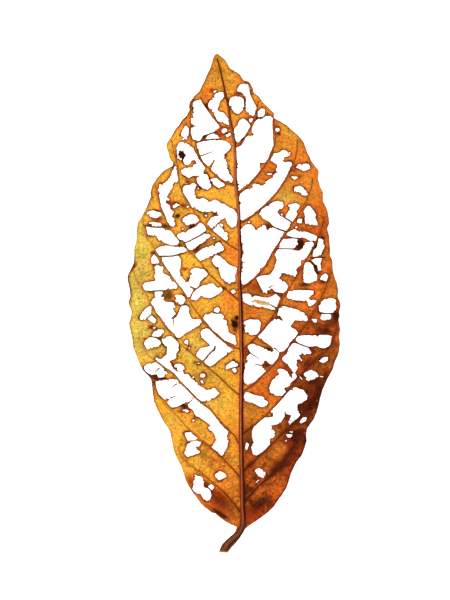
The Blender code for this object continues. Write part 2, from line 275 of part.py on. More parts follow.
# Holes right of the midrib, tip to base.
HOLES_RIGHT = [
    [(1.8, 65.7), (3.6, 65.9), (4.4, 65.4), (4.8, 62.8), (6.1, 60.0), (6.8, 57.2), (5.6, 56.0),
     (4.3, 56.8), (3.4, 58.2), (3.6, 61.0), (2.7, 63.0), (0.8, 63.6)],
    [(-1.6, 60.9), (-0.4, 62.0), (1.8, 62.1), (2.9, 61.0), (2.9, 58.3), (1.3, 56.7), (0.1, 57.3),
     (-1.3, 59.0)],
    [(7.3, 57.4), (8.3, 58.4), (9.2, 58.2), (8.8, 55.6), (7.2, 55.3)],
    [(4.5, 55.2), (5.9, 55.4), (6.0, 54.3), (4.7, 54.2)],
    [(2.0, 55.0), (2.8, 55.3), (4.9, 53.2), (3.1, 50.2), (1.6, 47.7), (0.9, 47.5), (0.1, 50.3),
     (0.1, 52.0)],
    [(7.2, 55.2), (8.0, 55.0), (9.5, 56.0), (11.2, 56.1), (11.9, 54.5), (12.3, 51.0), (11.7, 46.2),
     (9.7, 42.1), (7.7, 42.0), (8.0, 40.0), (5.6, 36.5), (4.4, 35.9), (3.6, 34.6), (1.6, 33.2),
     (0.8, 35.8), (0.7, 41.0), (0.7, 46.5), (1.9, 47.2), (3.4, 49.7), (4.7, 50.3), (6.2, 50.4),
     (5.3, 51.2), (5.5, 52.9)],
    [(1.6, 32.3), (3.2, 33.6), (5.1, 34.5), (5.9, 36.0), (8.9, 35.3), (9.6, 36.6), (11.3, 37.3),
     (13.1, 41.2), (10.9, 42.7), (12.0, 45.0), (13.5, 45.0), (14.9, 46.0), (17.1, 45.1), (16.8, 44.0),
     (15.0, 43.7), (15.0, 42.2), (17.0, 42.5), (17.5, 41.2), (15.2, 36.6), (13.2, 33.5), (12.4, 33.3),
     (10.2, 30.5), (7.3, 27.2), (5.7, 26.5), (3.4, 24.7), (1.9, 24.9), (1.8, 29.3)],
    [(9.5, 38.7), (11.0, 38.9), (11.7, 38.7), (10.3, 38.3)],
    [(18.3, 40.9), (19.5, 41.7), (22.5, 41.7), (23.0, 40.4), (20.3, 39.5), (19.9, 40.0)],
    [(16.9, 37.9), (18.6, 38.0), (19.3, 37.7), (18.2, 36.9)],
    [(18.0, 34.8), (20.0, 35.1), (21.8, 33.5), (22.4, 32.1), (20.3, 32.4), (19.4, 33.3), (18.0, 33.2)],
    [(10.2, 29.3), (13.0, 30.7), (14.7, 30.2), (14.9, 28.7), (12.8, 27.4), (13.8, 26.1), (17.0, 24.5),
     (17.0, 22.9), (15.9, 21.7), (13.0, 22.2), (11.5, 23.1), (11.0, 24.1), (8.5, 25.5), (7.4, 26.5),
     (8.4, 27.9)],
    [(15.4, 25.8), (16.7, 28.1), (16.2, 29.5), (18.6, 30.1), (19.9, 29.2), (18.7, 27.5), (19.2, 26.0),
     (17.6, 24.3)],
    [(21.9, 29.2), (22.8, 29.2), (24.6, 26.7), (24.6, 25.0), (25.3, 23.3), (23.4, 23.4), (21.5, 23.5),
     (21.3, 26.1), (20.7, 27.4)],
    [(18.8, 24.2), (19.3, 25.2), (20.4, 25.3), (20.3, 23.8)],
    [(16.4, 21.3), (18.0, 22.1), (19.5, 21.6), (22.3, 21.2), (25.2, 19.8), (24.6, 18.7), (22.5, 18.8),
     (21.0, 19.5), (18.0, 19.7), (15.5, 20.4)],
    [(15.0, 19.2), (19.0, 19.2), (19.2, 17.5), (18.0, 16.4), (13.5, 16.5)],
    [(13.0, 16.0), (17.2, 15.9), (20.2, 15.8), (21.4, 18.2), (23.6, 18.4), (24.1, 17.4), (21.8, 13.1),
     (20.0, 12.9), (20.1, 11.4), (18.4, 9.9), (19.2, 9.0), (18.3, 7.8), (16.6, 8.4), (14.8, 9.2),
     (13.3, 7.4), (15.2, 6.4), (16.2, 5.2), (14.8, 2.9), (12.3, 3.4), (11.3, 4.6), (9.8, 2.8),
     (8.6, 3.2), (8.2, 4.6), (6.7, 7.4), (8.2, 8.2), (10.7, 8.3), (12.7, 12.3), (12.2, 14.5)],
    [(2.0, 22.3), (3.3, 23.5), (5.2, 23.5), (7.0, 22.1), (8.8, 23.5), (9.4, 23.3), (9.8, 21.4),
     (10.9, 22.6), (12.4, 22.4), (15.2, 21.3), (13.7, 19.2), (13.8, 18.5), (11.1, 14.9), (8.3, 10.0),
     (5.0, 6.4), (3.4, 5.3), (2.3, 5.6), (2.2, 9.8), (2.7, 11.8), (2.3, 13.2), (2.9, 15.2), (2.5, 17.0)],
    [(2.5, 2.9), (4.2, 2.8), (7.6, 1.8), (10.3, 1.6), (12.6, 2.8), (13.9, 1.4), (12.8, -0.8),
     (12.7, -2.0), (12.1, -2.2), (10.1, -1.6), (6.5, -1.0), (3.5, -0.2), (2.6, 0.8)],
    [(2.9, -5.6), (4.3, -5.1), (7.3, -5.0), (8.2, -5.9), (7.8, -8.1), (7.0, -9.4), (5.4, -9.7),
     (3.3, -8.8), (3.1, -7.0)],
    [(25.5, 19.4), (26.6, 19.1), (27.3, 16.9), (26.1, 15.0), (26.0, 14.2), (23.6, 13.9), (23.8, 15.7),
     (24.8, 16.8)],
    [(23.2, 12.6), (24.5, 13.5), (26.6, 13.5), (25.9, 11.9), (26.3, 10.0), (25.2, 9.2), (25.1, 11.1)],
    [(21.4, 12.2), (22.8, 12.2), (23.8, 11.0), (23.9, 9.7), (25.1, 8.1), (24.9, 6.6), (22.5, 6.0),
     (20.9, 6.0), (20.9, 9.2)],
    [(26.4, 8.2), (27.4, 9.0), (28.5, 7.9), (28.0, 6.4), (25.9, 7.1)],
    [(16.4, 3.6), (20.0, 3.8), (23.6, 3.7), (24.1, 3.2), (22.5, 1.1), (25.0, 0.9), (24.1, -0.3),
     (22.4, -1.2), (22.0, 0.5), (18.2, 0.8), (15.7, 1.7)],
    [(27.0, 1.2), (30.3, 1.3), (30.8, 0.7), (30.4, -0.2), (30.8, -1.2), (30.3, -2.6), (28.6, -3.0),
     (25.6, -2.5), (25.3, -1.1)],
    [(26.0, -3.4), (29.1, -3.5), (29.0, -4.9), (27.3, -5.2), (25.9, -4.8)],
    [(23.2, -4.8), (24.8, -4.8), (24.8, -5.8), (24.0, -5.9)],
    [(19.6, -9.8), (23.0, -9.7), (27.2, -9.6), (29.7, -9.8), (28.4, -13.0), (27.2, -13.8), (24.9, -12.9),
     (22.0, -13.1), (19.3, -11.9), (18.4, -10.9)],
    [(17.4, -12.1), (18.2, -12.1), (22.2, -13.4), (23.4, -14.8), (23.2, -15.4), (19.1, -15.6),
     (20.6, -17.2), (20.1, -17.6), (18.9, -16.7), (18.6, -18.8), (19.2, -19.3), (18.2, -21.0),
     (18.9, -22.1), (17.0, -24.0), (16.5, -25.0), (15.2, -25.5), (15.6, -26.7), (14.4, -27.9),
     (12.5, -27.8), (10.9, -26.9), (10.7, -24.2), (11.7, -22.9), (13.4, -21.2), (13.0, -20.0),
     (13.9, -19.5), (16.6, -20.9), (16.3, -21.3), (17.4, -22.7), (17.5, -20.3), (16.4, -18.8),
     (14.3, -16.8), (16.0, -14.9)],
    [(12.0, -4.7), (13.8, -4.9), (15.2, -5.6), (13.9, -4.1), (13.0, -3.8), (13.4, -1.9), (14.1, -0.9),
     (17.0, -1.4), (21.7, -3.2), (22.2, -5.2), (21.2, -5.7), (18.2, -5.1), (16.9, -7.1), (18.4, -8.0),
     (19.3, -8.9), (16.7, -11.8), (15.3, -14.1), (13.5, -14.8), (12.8, -17.1), (11.3, -18.5),
     (9.3, -17.1), (8.4, -19.0), (9.7, -20.2), (6.9, -23.1), (4.2, -24.9), (3.0, -23.7), (2.8, -21.6),
     (3.4, -19.2), (3.2, -18.3), (4.2, -17.5), (3.5, -16.4), (5.0, -14.9), (3.9, -13.0), (5.6, -12.2),
     (9.3, -13.7), (11.5, -14.8), (11.7, -13.3), (7.2, -10.1), (10.4, -6.5)],
    [(3.0, -26.9), (4.1, -26.7), (5.8, -27.5), (8.9, -28.1), (10.2, -29.8), (9.9, -30.8), (8.2, -31.3),
     (6.7, -30.4), (4.0, -29.6), (3.0, -29.0)],
    [(25.5, -17.4), (26.8, -16.2), (28.2, -16.2), (28.3, -17.2), (26.8, -18.0)],
    [(20.8, -21.3), (22.9, -20.0), (24.8, -20.7), (25.4, -21.9), (22.6, -23.4), (21.6, -22.9)],
    [(15.6, -27.3), (16.8, -26.0), (17.3, -26.1), (18.3, -25.1), (19.8, -25.9), (20.7, -25.9),
     (22.2, -27.9), (22.0, -29.0), (20.3, -30.0), (19.1, -30.3), (18.9, -31.7), (20.1, -33.9),
     (17.7, -36.7), (16.6, -36.8), (16.2, -36.1), (17.4, -33.8), (15.7, -33.2), (15.4, -32.2),
     (15.1, -33.0), (15.2, -34.2), (13.7, -36.3), (11.1, -36.9), (12.6, -39.1), (10.7, -41.6),
     (10.9, -42.6), (8.8, -44.6), (7.0, -45.7), (5.7, -45.6), (5.2, -43.6), (5.8, -41.8), (5.3, -38.5),
     (6.9, -36.1), (9.3, -34.4), (12.2, -34.2), (11.0, -32.7), (13.3, -29.8)],
    [(19.6, -35.9), (20.8, -34.4), (21.9, -34.4), (21.6, -35.5), (20.2, -36.3)],
    [(3.3, -43.6), (3.7, -41.8), (4.5, -42.5), (3.8, -44.2)],
    [(16.6, -38.7), (17.8, -38.5), (17.6, -39.2)],
    [(15.7, -39.5), (17.6, -39.6), (17.2, -40.4), (16.2, -40.4)],
    [(6.1, -50.3), (7.3, -49.4), (9.6, -51.0), (9.0, -52.6), (7.3, -52.0)],
]

# Strands and stubs left standing in or between holes, as centre lines.
STRANDS = [
    [(6.6, 55.3), (8.8, 55.8), (10.4, 56.8)],
    [(-11.7, 48.0), (-9.0, 48.7), (-6.5, 49.1), (-3.8, 49.2)],
    [(-10.4, 48.3), (-9.0, 49.9), (-6.5, 51.0), (-4.9, 51.3)],
    [(-8.4, 21.4), (-10.3, 20.1), (-12.5, 19.0), (-15.8, 17.5)],
    [(-20.8, 22.7), (-24.5, 22.8), (-27.4, 23.5)],
    [(-22.6, 13.9), (-18.5, 14.05), (-15.0, 15.0)],
    [(-25.4, 3.4), (-21.8, 3.75), (-20.6, 3.5)],
    [(-18.6, 0.8), (-17.7, -0.2), (-16.0, -0.75), (-14.0, -0.1)],
    [(-14.5, -41.6), (-12.2, -41.4), (-10.3, -41.0)],
    [(-2.0, -19.9), (0.2, -19.3), (1.6, -18.9)],
    [(10.8, 23.5), (12.7, 22.3), (16.2, 21.2)],
    [(14.9, 25.7), (17.3, 24.3)],
    [(12.5, 16.3), (18.4, 16.2)],
    [(14.5, 19.6), (19.7, 19.4)],
    [(22.8, 13.6), (27.5, 13.7)],
    [(22.4, 12.7), (23.6, 12.2), (24.4, 10.8), (24.5, 9.7), (25.2, 8.6)],
    [(25.4, -3.0), (27.0, -3.15), (30.6, -3.2)],
    [(11.4, 3.1), (13.6, 2.9)],
    [(17.6, -11.6), (20.4, -12.6), (23.0, -13.5)],
    [(-24.8, -3.4), (-26.4, -4.9)],
    [(-25.5, -9.9), (-23.2, -10.4), (-21.4, -10.2)],
    [(-22.3, -10.4), (-21.85, -11.6), (-20.7, -13.5)],
    [(-24.0, -22.8), (-20.2, -22.5)],
    [(-27.5, -19.7), (-26.1, -21.1), (-24.7, -22.6)],
    [(-9.6, -17.9), (-8.2, -16.2), (-7.0, -14.8), (-5.8, -14.0), (-5.7, -12.8)],
    [(-15.4, 42.0), (-15.6, 44.0), (-15.3, 45.8)],
    [(5.2, 0.4), (8.2, 0.6), (10.5, -0.2), (13.2, -1.8)],
    [(-8.5, -54.7), (-7.1, -56.1), (-6.4, -56.8)],
]

# Pin holes: centre and radius.
PIN_HOLES = [
    (-13.9, 28.8, 0.35), (13.1, 52.0, 0.65), (18.7, 22.7, 0.35), (-8.4, 26.2, 0.35), (-12.2, -35.3, 0.4),
    (15.6, -41.5, 0.35), (14.3, 26.5, 0.3), (4.5, 24.2, 0.3),
]
PIN_HOLE_SIDES = 6


def clear_scene():
    """Remove whatever objects the file holds."""
    for old in list(bpy.data.objects):
        bpy.data.objects.remove(old, do_unlink=True)


def spline_point(before, start, end, after, t):
    """Point of a Catmull-Rom curve between start and end."""
    return tuple(
        0.5 * (2 * b + (c - a) * t + (2 * a - 5 * b + 4 * c - d) * t ** 2 + (3 * b - a - 3 * c + d) * t ** 3)
        for a, b, c, d in zip(before, start, end, after)
    )


def rounded(points, closed):
    """Add points on a smooth curve wherever two given points lie far apart."""
    count = len(points)
    result = []
    for i in range(count if closed else count - 1):
        start = points[i]
        end = points[(i + 1) % count]
        before = points[i - 1] if closed or i > 0 else start
        after = points[(i + 2) % count] if closed or i + 2 < count else end
        steps = max(1, math.ceil(math.dist(start[:2], end[:2]) / LONGEST_EDGE))
        result += [spline_point(before, start, end, after, k / steps) for k in range(steps)]
    if not closed:
        result.append(points[-1])
    return result


def thinned(points, step):
    """Resample a smooth line evenly, about step apart."""
    fine = [points[0]]
    for i in range(len(points) - 1):
        before = points[max(i - 1, 0)]
        after = points[min(i + 2, len(points) - 1)]
        fine += [spline_point(before, points[i], points[i + 1], after, k / CURVE_STEPS)
                 for k in range(1, CURVE_STEPS + 1)]
    length = sum(math.dist(a[:2], b[:2]) for a, b in zip(fine, fine[1:]))
    gap = length / max(1, round(length / step))
    result = [fine[0]]
    walked = 0.0
    for a, b in zip(fine, fine[1:]):
        walked += math.dist(a[:2], b[:2])
        if walked >= gap * 0.999:
            result.append(b)
            walked = 0.0
    result[-1] = fine[-1]
    return result


def ring(centre, radius, sides):
    """Closed regular outline."""
    angles = [2 * math.pi * (k + 0.5) / sides for k in range(sides)]
    return [(centre[0] + radius * math.cos(a), centre[1] + radius * math.sin(a)) for a in angles]


def offset_line(line, share):
    """Line beside a centre line of (x, y, half width), share of the half width to its left."""
    result = []
    for i, (x, y, half) in enumerate(line):
        a = Vector(line[max(i - 1, 0)][:2])
        b = Vector(line[min(i + 1, len(line) - 1)][:2])
        along = (b - a).normalized()
        result.append((x - along.y * half * share, y + along.x * half * share))
    return result


def inside(point, loop):
    """Even-odd test of a point against a closed outline."""
    x, y = point
    odd = False
    for (x1, y1), (x2, y2) in zip(loop, loop[1:] + loop[:1]):
        if (y1 > y) != (y2 > y) and x < x1 + (x2 - x1) * (y - y1) / (y2 - y1):
            odd = not odd
    return odd


def distance_to_line(point, line):
    """Distance from a point to a line of points, and how far along it (0 to 1) the nearest place is."""
    best = (1e9, 0.0)
    p = Vector(point)
    for i, (a, b) in enumerate(zip(line, line[1:])):
        start = Vector(a[:2])
        run = Vector(b[:2]) - start
        t = min(1.0, max(0.0, (p - start).dot(run) / run.length_squared))
        best = min(best, ((p - start - run * t).length, (i + t) / (len(line) - 1)))
    return best


def value_along(line, share):
    """Half width of a line of (x, y, half width) at a share of its points."""
    place = share * (len(line) - 1)
    i = min(int(place), len(line) - 2)
    return line[i][2] + (line[i + 1][2] - line[i][2]) * (place - i)


class Box:
    """Bounding box of an outline, to skip needless inside tests."""

    def __init__(self, loop):
        self.loop = loop
        self.low = (min(p[0] for p in loop), min(p[1] for p in loop))
        self.high = (max(p[0] for p in loop), max(p[1] for p in loop))

    def holds(self, point):
        """Whether the point lies inside the outline."""
        if not (self.low[0] <= point[0] <= self.high[0] and self.low[1] <= point[1] <= self.high[1]):
            return False
        return inside(point, self.loop)


def tapered(points):
    """Side vein as (x, y, half width), thinner towards its end."""
    last = len(points) - 1
    taper = SIDE_VEIN_HALF_END - SIDE_VEIN_HALF
    return [(x, y, SIDE_VEIN_HALF + taper * i / last) for i, (x, y) in enumerate(points)]


def net_lines(veins, draw):
    """Rungs of the raised net: from each side vein to the nearest place on the next one."""
    lines = []
    for upper, lower in zip(veins, veins[1:]):
        for start in thinned(lower, NET_STEP)[1:-1]:
            rung_end = min(thinned(upper, NET_TARGET_STEP), key=lambda p: math.dist(p[:2], start[:2]))
            bow = draw.uniform(-NET_BOW, NET_BOW)
            across = Vector(rung_end[:2]) - Vector(start[:2])
            side = Vector((-across.y, across.x)).normalized()
            steps = max(2, round(across.length / NET_POINT_STEP))
            shares = [k / steps for k in range(steps + 1)]
            lines.append([
                tuple(Vector(start[:2]) + across * t + side * bow * math.sin(math.pi * t)) for t in shares
            ])
    return lines


def sheet_height(x, y):
    """Underside height of the arched, lightly waved blade over the surface, mm."""
    if y > CROWN_Y:
        rise = CROWN_HEIGHT - TIP_DROP * ((y - CROWN_Y) / (TIP_Y - CROWN_Y)) ** 2
    else:
        rise = CROWN_HEIGHT - BASE_DROP * ((y - CROWN_Y) / (BASE_Y - CROWN_Y)) ** 2
    if y < STALK_START_Y:
        rise -= STALK_DROP * (STALK_START_Y - y) / (STALK_START_Y + TIP_Y)
    sideways = abs(x - MIDDLE_X) / HALF_WIDTH
    rise -= SIDE_DROP * sideways ** SIDE_POWER
    rise += WAVE_HEIGHT * sideways * math.sin(2 * math.pi * (y + WAVE_SLANT * x) / WAVE_LENGTH)
    for centre, reach in REST_SPOTS:
        away = max(0.0, math.dist((x, y), centre) - REST_SPOT_RADIUS - REST_SPOT_RIM)
        rise *= 1.0 - math.exp(-(away / reach) ** 2)
    return rise


class Leaf:
    """Plan lines of the leaf and the relief that rises from its blade."""

    def __init__(self):
        draw = random.Random(NET_SEED)
        self.margin = rounded(MARGIN_RIGHT + MARGIN_LEFT[::-1], True)
        self.holes = [rounded(hole, True) for hole in HOLES_LEFT + HOLES_RIGHT]
        self.holes += [ring(pin[:2], pin[2], PIN_HOLE_SIDES) for pin in PIN_HOLES]
        self.midrib = thinned(MIDRIB, MIDRIB_STEP)
        self.side_veins = [thinned(tapered(v), SIDE_VEIN_STEP) for v in SIDE_VEINS_LEFT + SIDE_VEINS_RIGHT]
        self.strands = [[(x, y, STRAND_HALF) for x, y in line] for line in STRANDS]
        self.net = net_lines([tapered(v) for v in SIDE_VEINS_LEFT], draw)
        self.net += net_lines([tapered(v) for v in SIDE_VEINS_RIGHT], draw)
        self.spots = [ring(centre, REST_SPOT_RADIUS, REST_SPOT_SIDES) for centre, _ in REST_SPOTS]
        strips = [self.midrib] + self.side_veins + self.strands
        self.strip_boxes = [Box(offset_line(s, 1.0) + offset_line(s, -1.0)[::-1]) for s in strips]
        self.hole_boxes = [Box(hole) for hole in self.holes]
        self.margin_box = Box(self.margin)

    def has_material(self, point):
        """Whether the blade, a vein or a strand is there."""
        if any(strip.holds(point) for strip in self.strip_boxes):
            return True
        return self.margin_box.holds(point) and not any(hole.holds(point) for hole in self.hole_boxes)

    def relief(self, x, y):
        """Rise of the upper and of the under face at a place, mm."""
        top = 0.0
        for vein in self.side_veins:
            away, share = distance_to_line((x, y), vein)
            half = value_along(vein, share)
            if away < half:
                rise = SIDE_VEIN_RISE + (SIDE_VEIN_RISE_END - SIDE_VEIN_RISE) * share
                top = max(top, rise * math.cos(0.5 * math.pi * away / half))
        for line in self.net:
            away, _ = distance_to_line((x, y), line)
            if away < NET_HALF_WIDTH:
                top = max(top, NET_RISE * math.cos(0.5 * math.pi * away / NET_HALF_WIDTH))
        under = top * UNDERSIDE_SHARE
        away, share = distance_to_line((x, y), self.midrib)
        half = value_along(self.midrib, share)
        if away < half:
            round_share = math.sqrt(1.0 - (away / half) ** 2)
            size = half / MIDRIB[-1][2]
            top = max(top, MIDRIB_RISE_TOP * size * round_share)
            rise_under = STALK_RISE_UNDER if y < BASE_Y else MIDRIB_RISE_UNDER
            under = max(under, rise_under * size * round_share)
        return top, min(under, UNDERSIDE_LIMIT * sheet_height(x, y))


def plan_lines(leaf):
    """All lines that the triangles follow, each as (points, closed)."""
    lines = [(leaf.margin, True)]
    lines += [(hole, True) for hole in leaf.holes]
    lines += [(spot, True) for spot in leaf.spots]
    for strip in leaf.side_veins + leaf.strands:
        outline = offset_line(strip, 1.0) + offset_line(strip, -1.0)[::-1]
        lines.append((outline, True))
    for vein in leaf.side_veins:
        lines.append(([p[:2] for p in vein], False))
    outline = offset_line(leaf.midrib, 1.0) + offset_line(leaf.midrib, -1.0)[::-1]
    lines.append((outline, True))
    for share in MIDRIB_FACETS:
        lines.append((offset_line(leaf.midrib, share), False))
    return lines


def triangulate(leaf):
    """Plan points and the triangles that hold material."""
    points = []
    edges = []
    for line, closed in plan_lines(leaf):
        first = len(points)
        points += [Vector(p) for p in line]
        edges += [(k, k + 1) for k in range(first, len(points) - 1)]
        if closed:
            edges.append((len(points) - 1, first))
    for rung in leaf.net:
        for place in rung:
            spot = Vector(place)
            if leaf.has_material(spot) and all((p - spot).length > NET_CLEARANCE for p in points):
                points.append(spot)
    places, _, faces, *_ = delaunay_2d_cdt(points, edges, [], 0, MERGE_DISTANCE, False)
    kept = []
    for face in faces:
        centre = sum((places[i] for i in face), Vector((0.0, 0.0))) / len(face)
        if leaf.has_material(centre):
            kept.append(tuple(face))
    return places, largest_piece(fill_pinches(faces, kept))


def fans_at(faces, corner):
    """How many separate fans of triangles meet at a corner."""
    groups = []
    for face in faces:
        others = {i for i in face if i != corner}
        touching = [g for g in groups if g & others]
        for g in touching:
            others |= g
            groups.remove(g)
        groups.append(others)
    return len(groups)


def fill_pinches(faces, kept):
    """Fill in round any corner where two parts of the leaf would touch at a single point."""
    kept = set(kept)
    around = {}
    for face in faces:
        for corner in face:
            around.setdefault(corner, []).append(tuple(face))
    changed = True
    while changed:
        changed = False
        for corner, ring_faces in around.items():
            present = [f for f in ring_faces if f in kept]
            if present and fans_at(present, corner) > 1:
                kept.update(ring_faces)
                changed = True
    return kept


def largest_piece(kept):
    """Drop scraps that hang on nothing."""
    kept = sorted(kept)
    by_edge = {}
    for face in kept:
        for a, b in zip(face, face[1:] + face[:1]):
            by_edge.setdefault(frozenset((a, b)), []).append(face)
    seen = set()
    best = []
    for first in kept:
        if first in seen:
            continue
        seen.add(first)
        piece = [first]
        for face in piece:
            for a, b in zip(face, face[1:] + face[:1]):
                for other in by_edge[frozenset((a, b))]:
                    if other not in seen:
                        seen.add(other)
                        piece.append(other)
        best = max(best, piece, key=len)
    return best


def leaf_material():
    """Dry ochre leaf tissue."""
    material = bpy.data.materials.new("dry_leaf")
    material.use_nodes = True
    shader = material.node_tree.nodes["Principled BSDF"]
    shader.inputs["Base Color"].default_value = (0.55, 0.24, 0.04, 1.0)
    shader.inputs["Roughness"].default_value = 0.62
    shader.inputs["Metallic"].default_value = 0.0
    return material


def build_leaf():
    """Closed solid: the same triangles on both faces, joined by a wall along every edge."""
    leaf = Leaf()
    places, faces = triangulate(leaf)
    mesh = bmesh.new()
    upper = {}
    under = {}
    for i in sorted({corner for face in faces for corner in face}):
        x, y = places[i]
        height = sheet_height(x, y)
        rise_top, rise_under = leaf.relief(x, y)
        upper[i] = mesh.verts.new((x * MM, y * MM, (height + BLADE_THICKNESS + rise_top) * MM))
        under[i] = mesh.verts.new((x * MM, y * MM, (height - rise_under) * MM))
    directed = {(a, b) for face in faces for a, b in zip(face, face[1:] + face[:1])}
    for face in faces:
        mesh.faces.new([upper[i] for i in face])
        mesh.faces.new([under[i] for i in reversed(face)])
    for a, b in sorted(directed):
        if (b, a) not in directed:
            mesh.faces.new([upper[b], upper[a], under[a]])
            mesh.faces.new([upper[b], under[a], under[b]])
    data = bpy.data.meshes.new("leaf")
    mesh.to_mesh(data)
    mesh.free()
    data.materials.append(leaf_material())
    leaf_object = bpy.data.objects.new("leaf", data)
    bpy.context.scene.collection.objects.link(leaf_object)
    return leaf_object


def main():
    """Build the leaf into an empty scene."""
    clear_scene()
    build_leaf()


main()
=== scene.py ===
import math

import bpy
import numpy as np
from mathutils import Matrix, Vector
from mathutils.bvhtree import BVHTree
from mathutils.geometry import delaunay_2d_cdt
from mathutils.kdtree import KDTree


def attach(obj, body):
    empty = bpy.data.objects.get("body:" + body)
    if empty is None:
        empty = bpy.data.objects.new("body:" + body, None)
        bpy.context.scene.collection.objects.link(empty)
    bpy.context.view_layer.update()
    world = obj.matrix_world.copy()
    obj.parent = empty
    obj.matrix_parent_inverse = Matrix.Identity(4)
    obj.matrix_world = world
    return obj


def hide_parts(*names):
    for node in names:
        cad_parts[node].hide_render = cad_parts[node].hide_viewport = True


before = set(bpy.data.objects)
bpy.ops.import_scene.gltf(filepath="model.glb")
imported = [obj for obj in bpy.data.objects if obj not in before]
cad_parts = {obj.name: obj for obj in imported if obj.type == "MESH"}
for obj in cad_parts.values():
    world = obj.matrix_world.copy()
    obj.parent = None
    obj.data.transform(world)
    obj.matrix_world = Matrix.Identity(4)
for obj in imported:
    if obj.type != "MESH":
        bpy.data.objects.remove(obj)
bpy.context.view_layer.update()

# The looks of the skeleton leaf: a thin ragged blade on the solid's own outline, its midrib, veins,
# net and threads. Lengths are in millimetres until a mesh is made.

MM = 0.001
UP = np.array([0.0, 0.0, 1.0])

# The arched sheet, as the solid has it.
CROWN_HEIGHT = 8.2
CROWN_Y = 8.0
TIP_Y = 75.0
BASE_Y = -67.0
TIP_DROP = 5.6
BASE_DROP = 3.4
STALK_DROP = 2.6
STALK_START_Y = -64.0
HALF_WIDTH = 31.8
SIDE_DROP = 5.0
SIDE_POWER = 1.7
WAVE_HEIGHT = 0.55
WAVE_LENGTH = 21.0
WAVE_SLANT = 0.4
MIDDLE_X = 1.0
REST_SPOTS = [((-5.9, 68.4), 5.0), ((-19.8, -34.6), 11.0), ((19.6, -41.2), 11.0)]
REST_SPOT_RADIUS = 1.35

# The thin blade: thickness, and how far it sags between the veins.
BLADE_THICKNESS = 0.36
# Share of the tint kept on the blade's lower face, painted darker as shade.
UNDERSIDE_SHADE = 0.9
SAG = 0.34
SAG_REACH = 1.7
NET_SAG = 0.07
NET_SAG_REACH = 0.5
CRINKLE = 0.16
CRINKLE_LENGTH = 5.5
EDGE_CURL = 0.22
EDGE_CURL_REACH = 0.9
FULL_RELIEF_HEIGHT = 1.5

# Mesh density: spacing along edges, inside and of the row next to an edge, and what stays clear.
EDGE_STEP = 0.21
INNER_STEP = 0.42
INNER_JITTER = 0.12
RIM_STEP = 0.2
RIM_CLEARANCE = 0.75
CLEAR_OF_EDGE = 0.3
CLEAR_OF_RIM = 0.22
CURVE_STEPS = 12
SLIVER_AREA = 1e-7
MERGE_DISTANCE = 1e-4

# Ragged edges: field wavelength and how far it moves an edge.
HOLE_RAGS = {2.6: 0.06, 1.1: 0.09, 0.5: 0.08}
MARGIN_RAGS = {5.0: 0.10, 1.8: 0.07, 0.6: 0.04}
MARGIN_GROWTH = 0.1
SMALL_HOLE_EDGE = 9.0
TOOTH_SPACING = 2.1
TOOTH_REACH = (0.12, 0.62)
TOOTH_WIDTH = (0.12, 0.3)
SLIT_CORNERS = 10
# How much less ragged and toothed an edge is along a vein or strand.
RAGS_HELD = 0.65
TEETH_HELD = 0.8

# Side veins: half width of the strip in the solid, of the real strip, and the vein's radius.
VEIN_STRIP = (0.48, 0.34)
VEIN_TRUE = (0.37, 0.22)
VEIN_RADIUS = (0.25, 0.11)
STRAND_STRIP = 0.31
STRAND_TRUE = 0.2
STRAND_RADIUS = 0.17
THREAD_RADIUS = (0.22, 0.1)
STRIP_FADE = 0.25
VEIN_SIDES = 8
STRAND_SIDES = 6
RUNG_SIDES = 5
VEIN_STEP = 0.35
STRAND_STEP = 0.3
THREAD_STEP = 0.25

# How knobbly the strands are and how deep they sink into the blade, as shares of their radius.
VEIN_KNOTS = 0.12
STRAND_KNOTS = 0.3
VEIN_SINK = 0.35
STRAND_SINK = 0.3
RUNG_SINK = 0.45

# Angles in degrees past which an edge is shaded sharp.
SHEET_SHARP = 50
TUBE_SHARP = 60
MIDRIB_SHARP = 55

# Net between the side veins.
RUNG_SPACING = 2.3
RUNG_CONE = 0.85
RUNG_BOW = 0.8
RUNG_SHIFT = 0.6
RUNG_AIM = 0.3
RUNG_WANDER = 0.25
RUNG_RADIUS = 0.085
RUNG_STEP = 0.4
STUB_REACH = (0.25, 1.05)

MIDRIB_RISE = 1.0
STALK_HALF = 1.25
MIDRIB_RISE_UNDER = 0.35
STALK_RISE_UNDER = 0.75
STALK_CUT_Y = -75.0
MIDRIB_SIDES = 28
MIDRIB_STEP = 0.45
RISE_SMOOTHING = 6
CUT_RINGS = 5

# Centre of the midrib and stalk from the tip to the cut end, with the half width there.
MIDRIB = [
    (-5, 73.4, 0.22), (-4.1, 70, 0.26), (-3.2, 66, 0.30), (-2.5, 62.5, 0.34), (-1.7, 59, 0.37),
    (-1.2, 55, 0.40), (-0.4, 51, 0.42), (0.2, 47, 0.44), (0.4, 43, 0.46), (0.4, 39, 0.47),
    (0.6, 35, 0.48), (1.1, 31, 0.50), (1.4, 27, 0.51), (1.5, 23, 0.52), (1.6, 19, 0.53),
    (1.8, 15, 0.54), (1.7, 11, 0.55), (1.6, 7, 0.56), (1.8, 3, 0.57), (2, -1, 0.58),
    (2.1, -5, 0.59), (2.2, -9, 0.60), (2.2, -13, 0.61), (2.3, -17, 0.62), (2.3, -21, 0.63),
    (2.2, -25, 0.63), (2.1, -29, 0.64), (2.1, -33, 0.65), (2.1, -37, 0.66), (2.1, -41, 0.66),
    (2.2, -45, 0.67), (2.3, -49, 0.68), (2.4, -53, 0.69), (2.5, -57, 0.71), (2.6, -61, 0.75),
    (2.7, -65, 0.83), (2.5, -67.3, 0.92), (1.4, -69.2, 1.00), (-0.1, -70.7, 1.06), (-1.6, -72.1, 1.12),
    (-2.6, -73.4, 1.22), (-3.1, -74.9, 1.34),
]

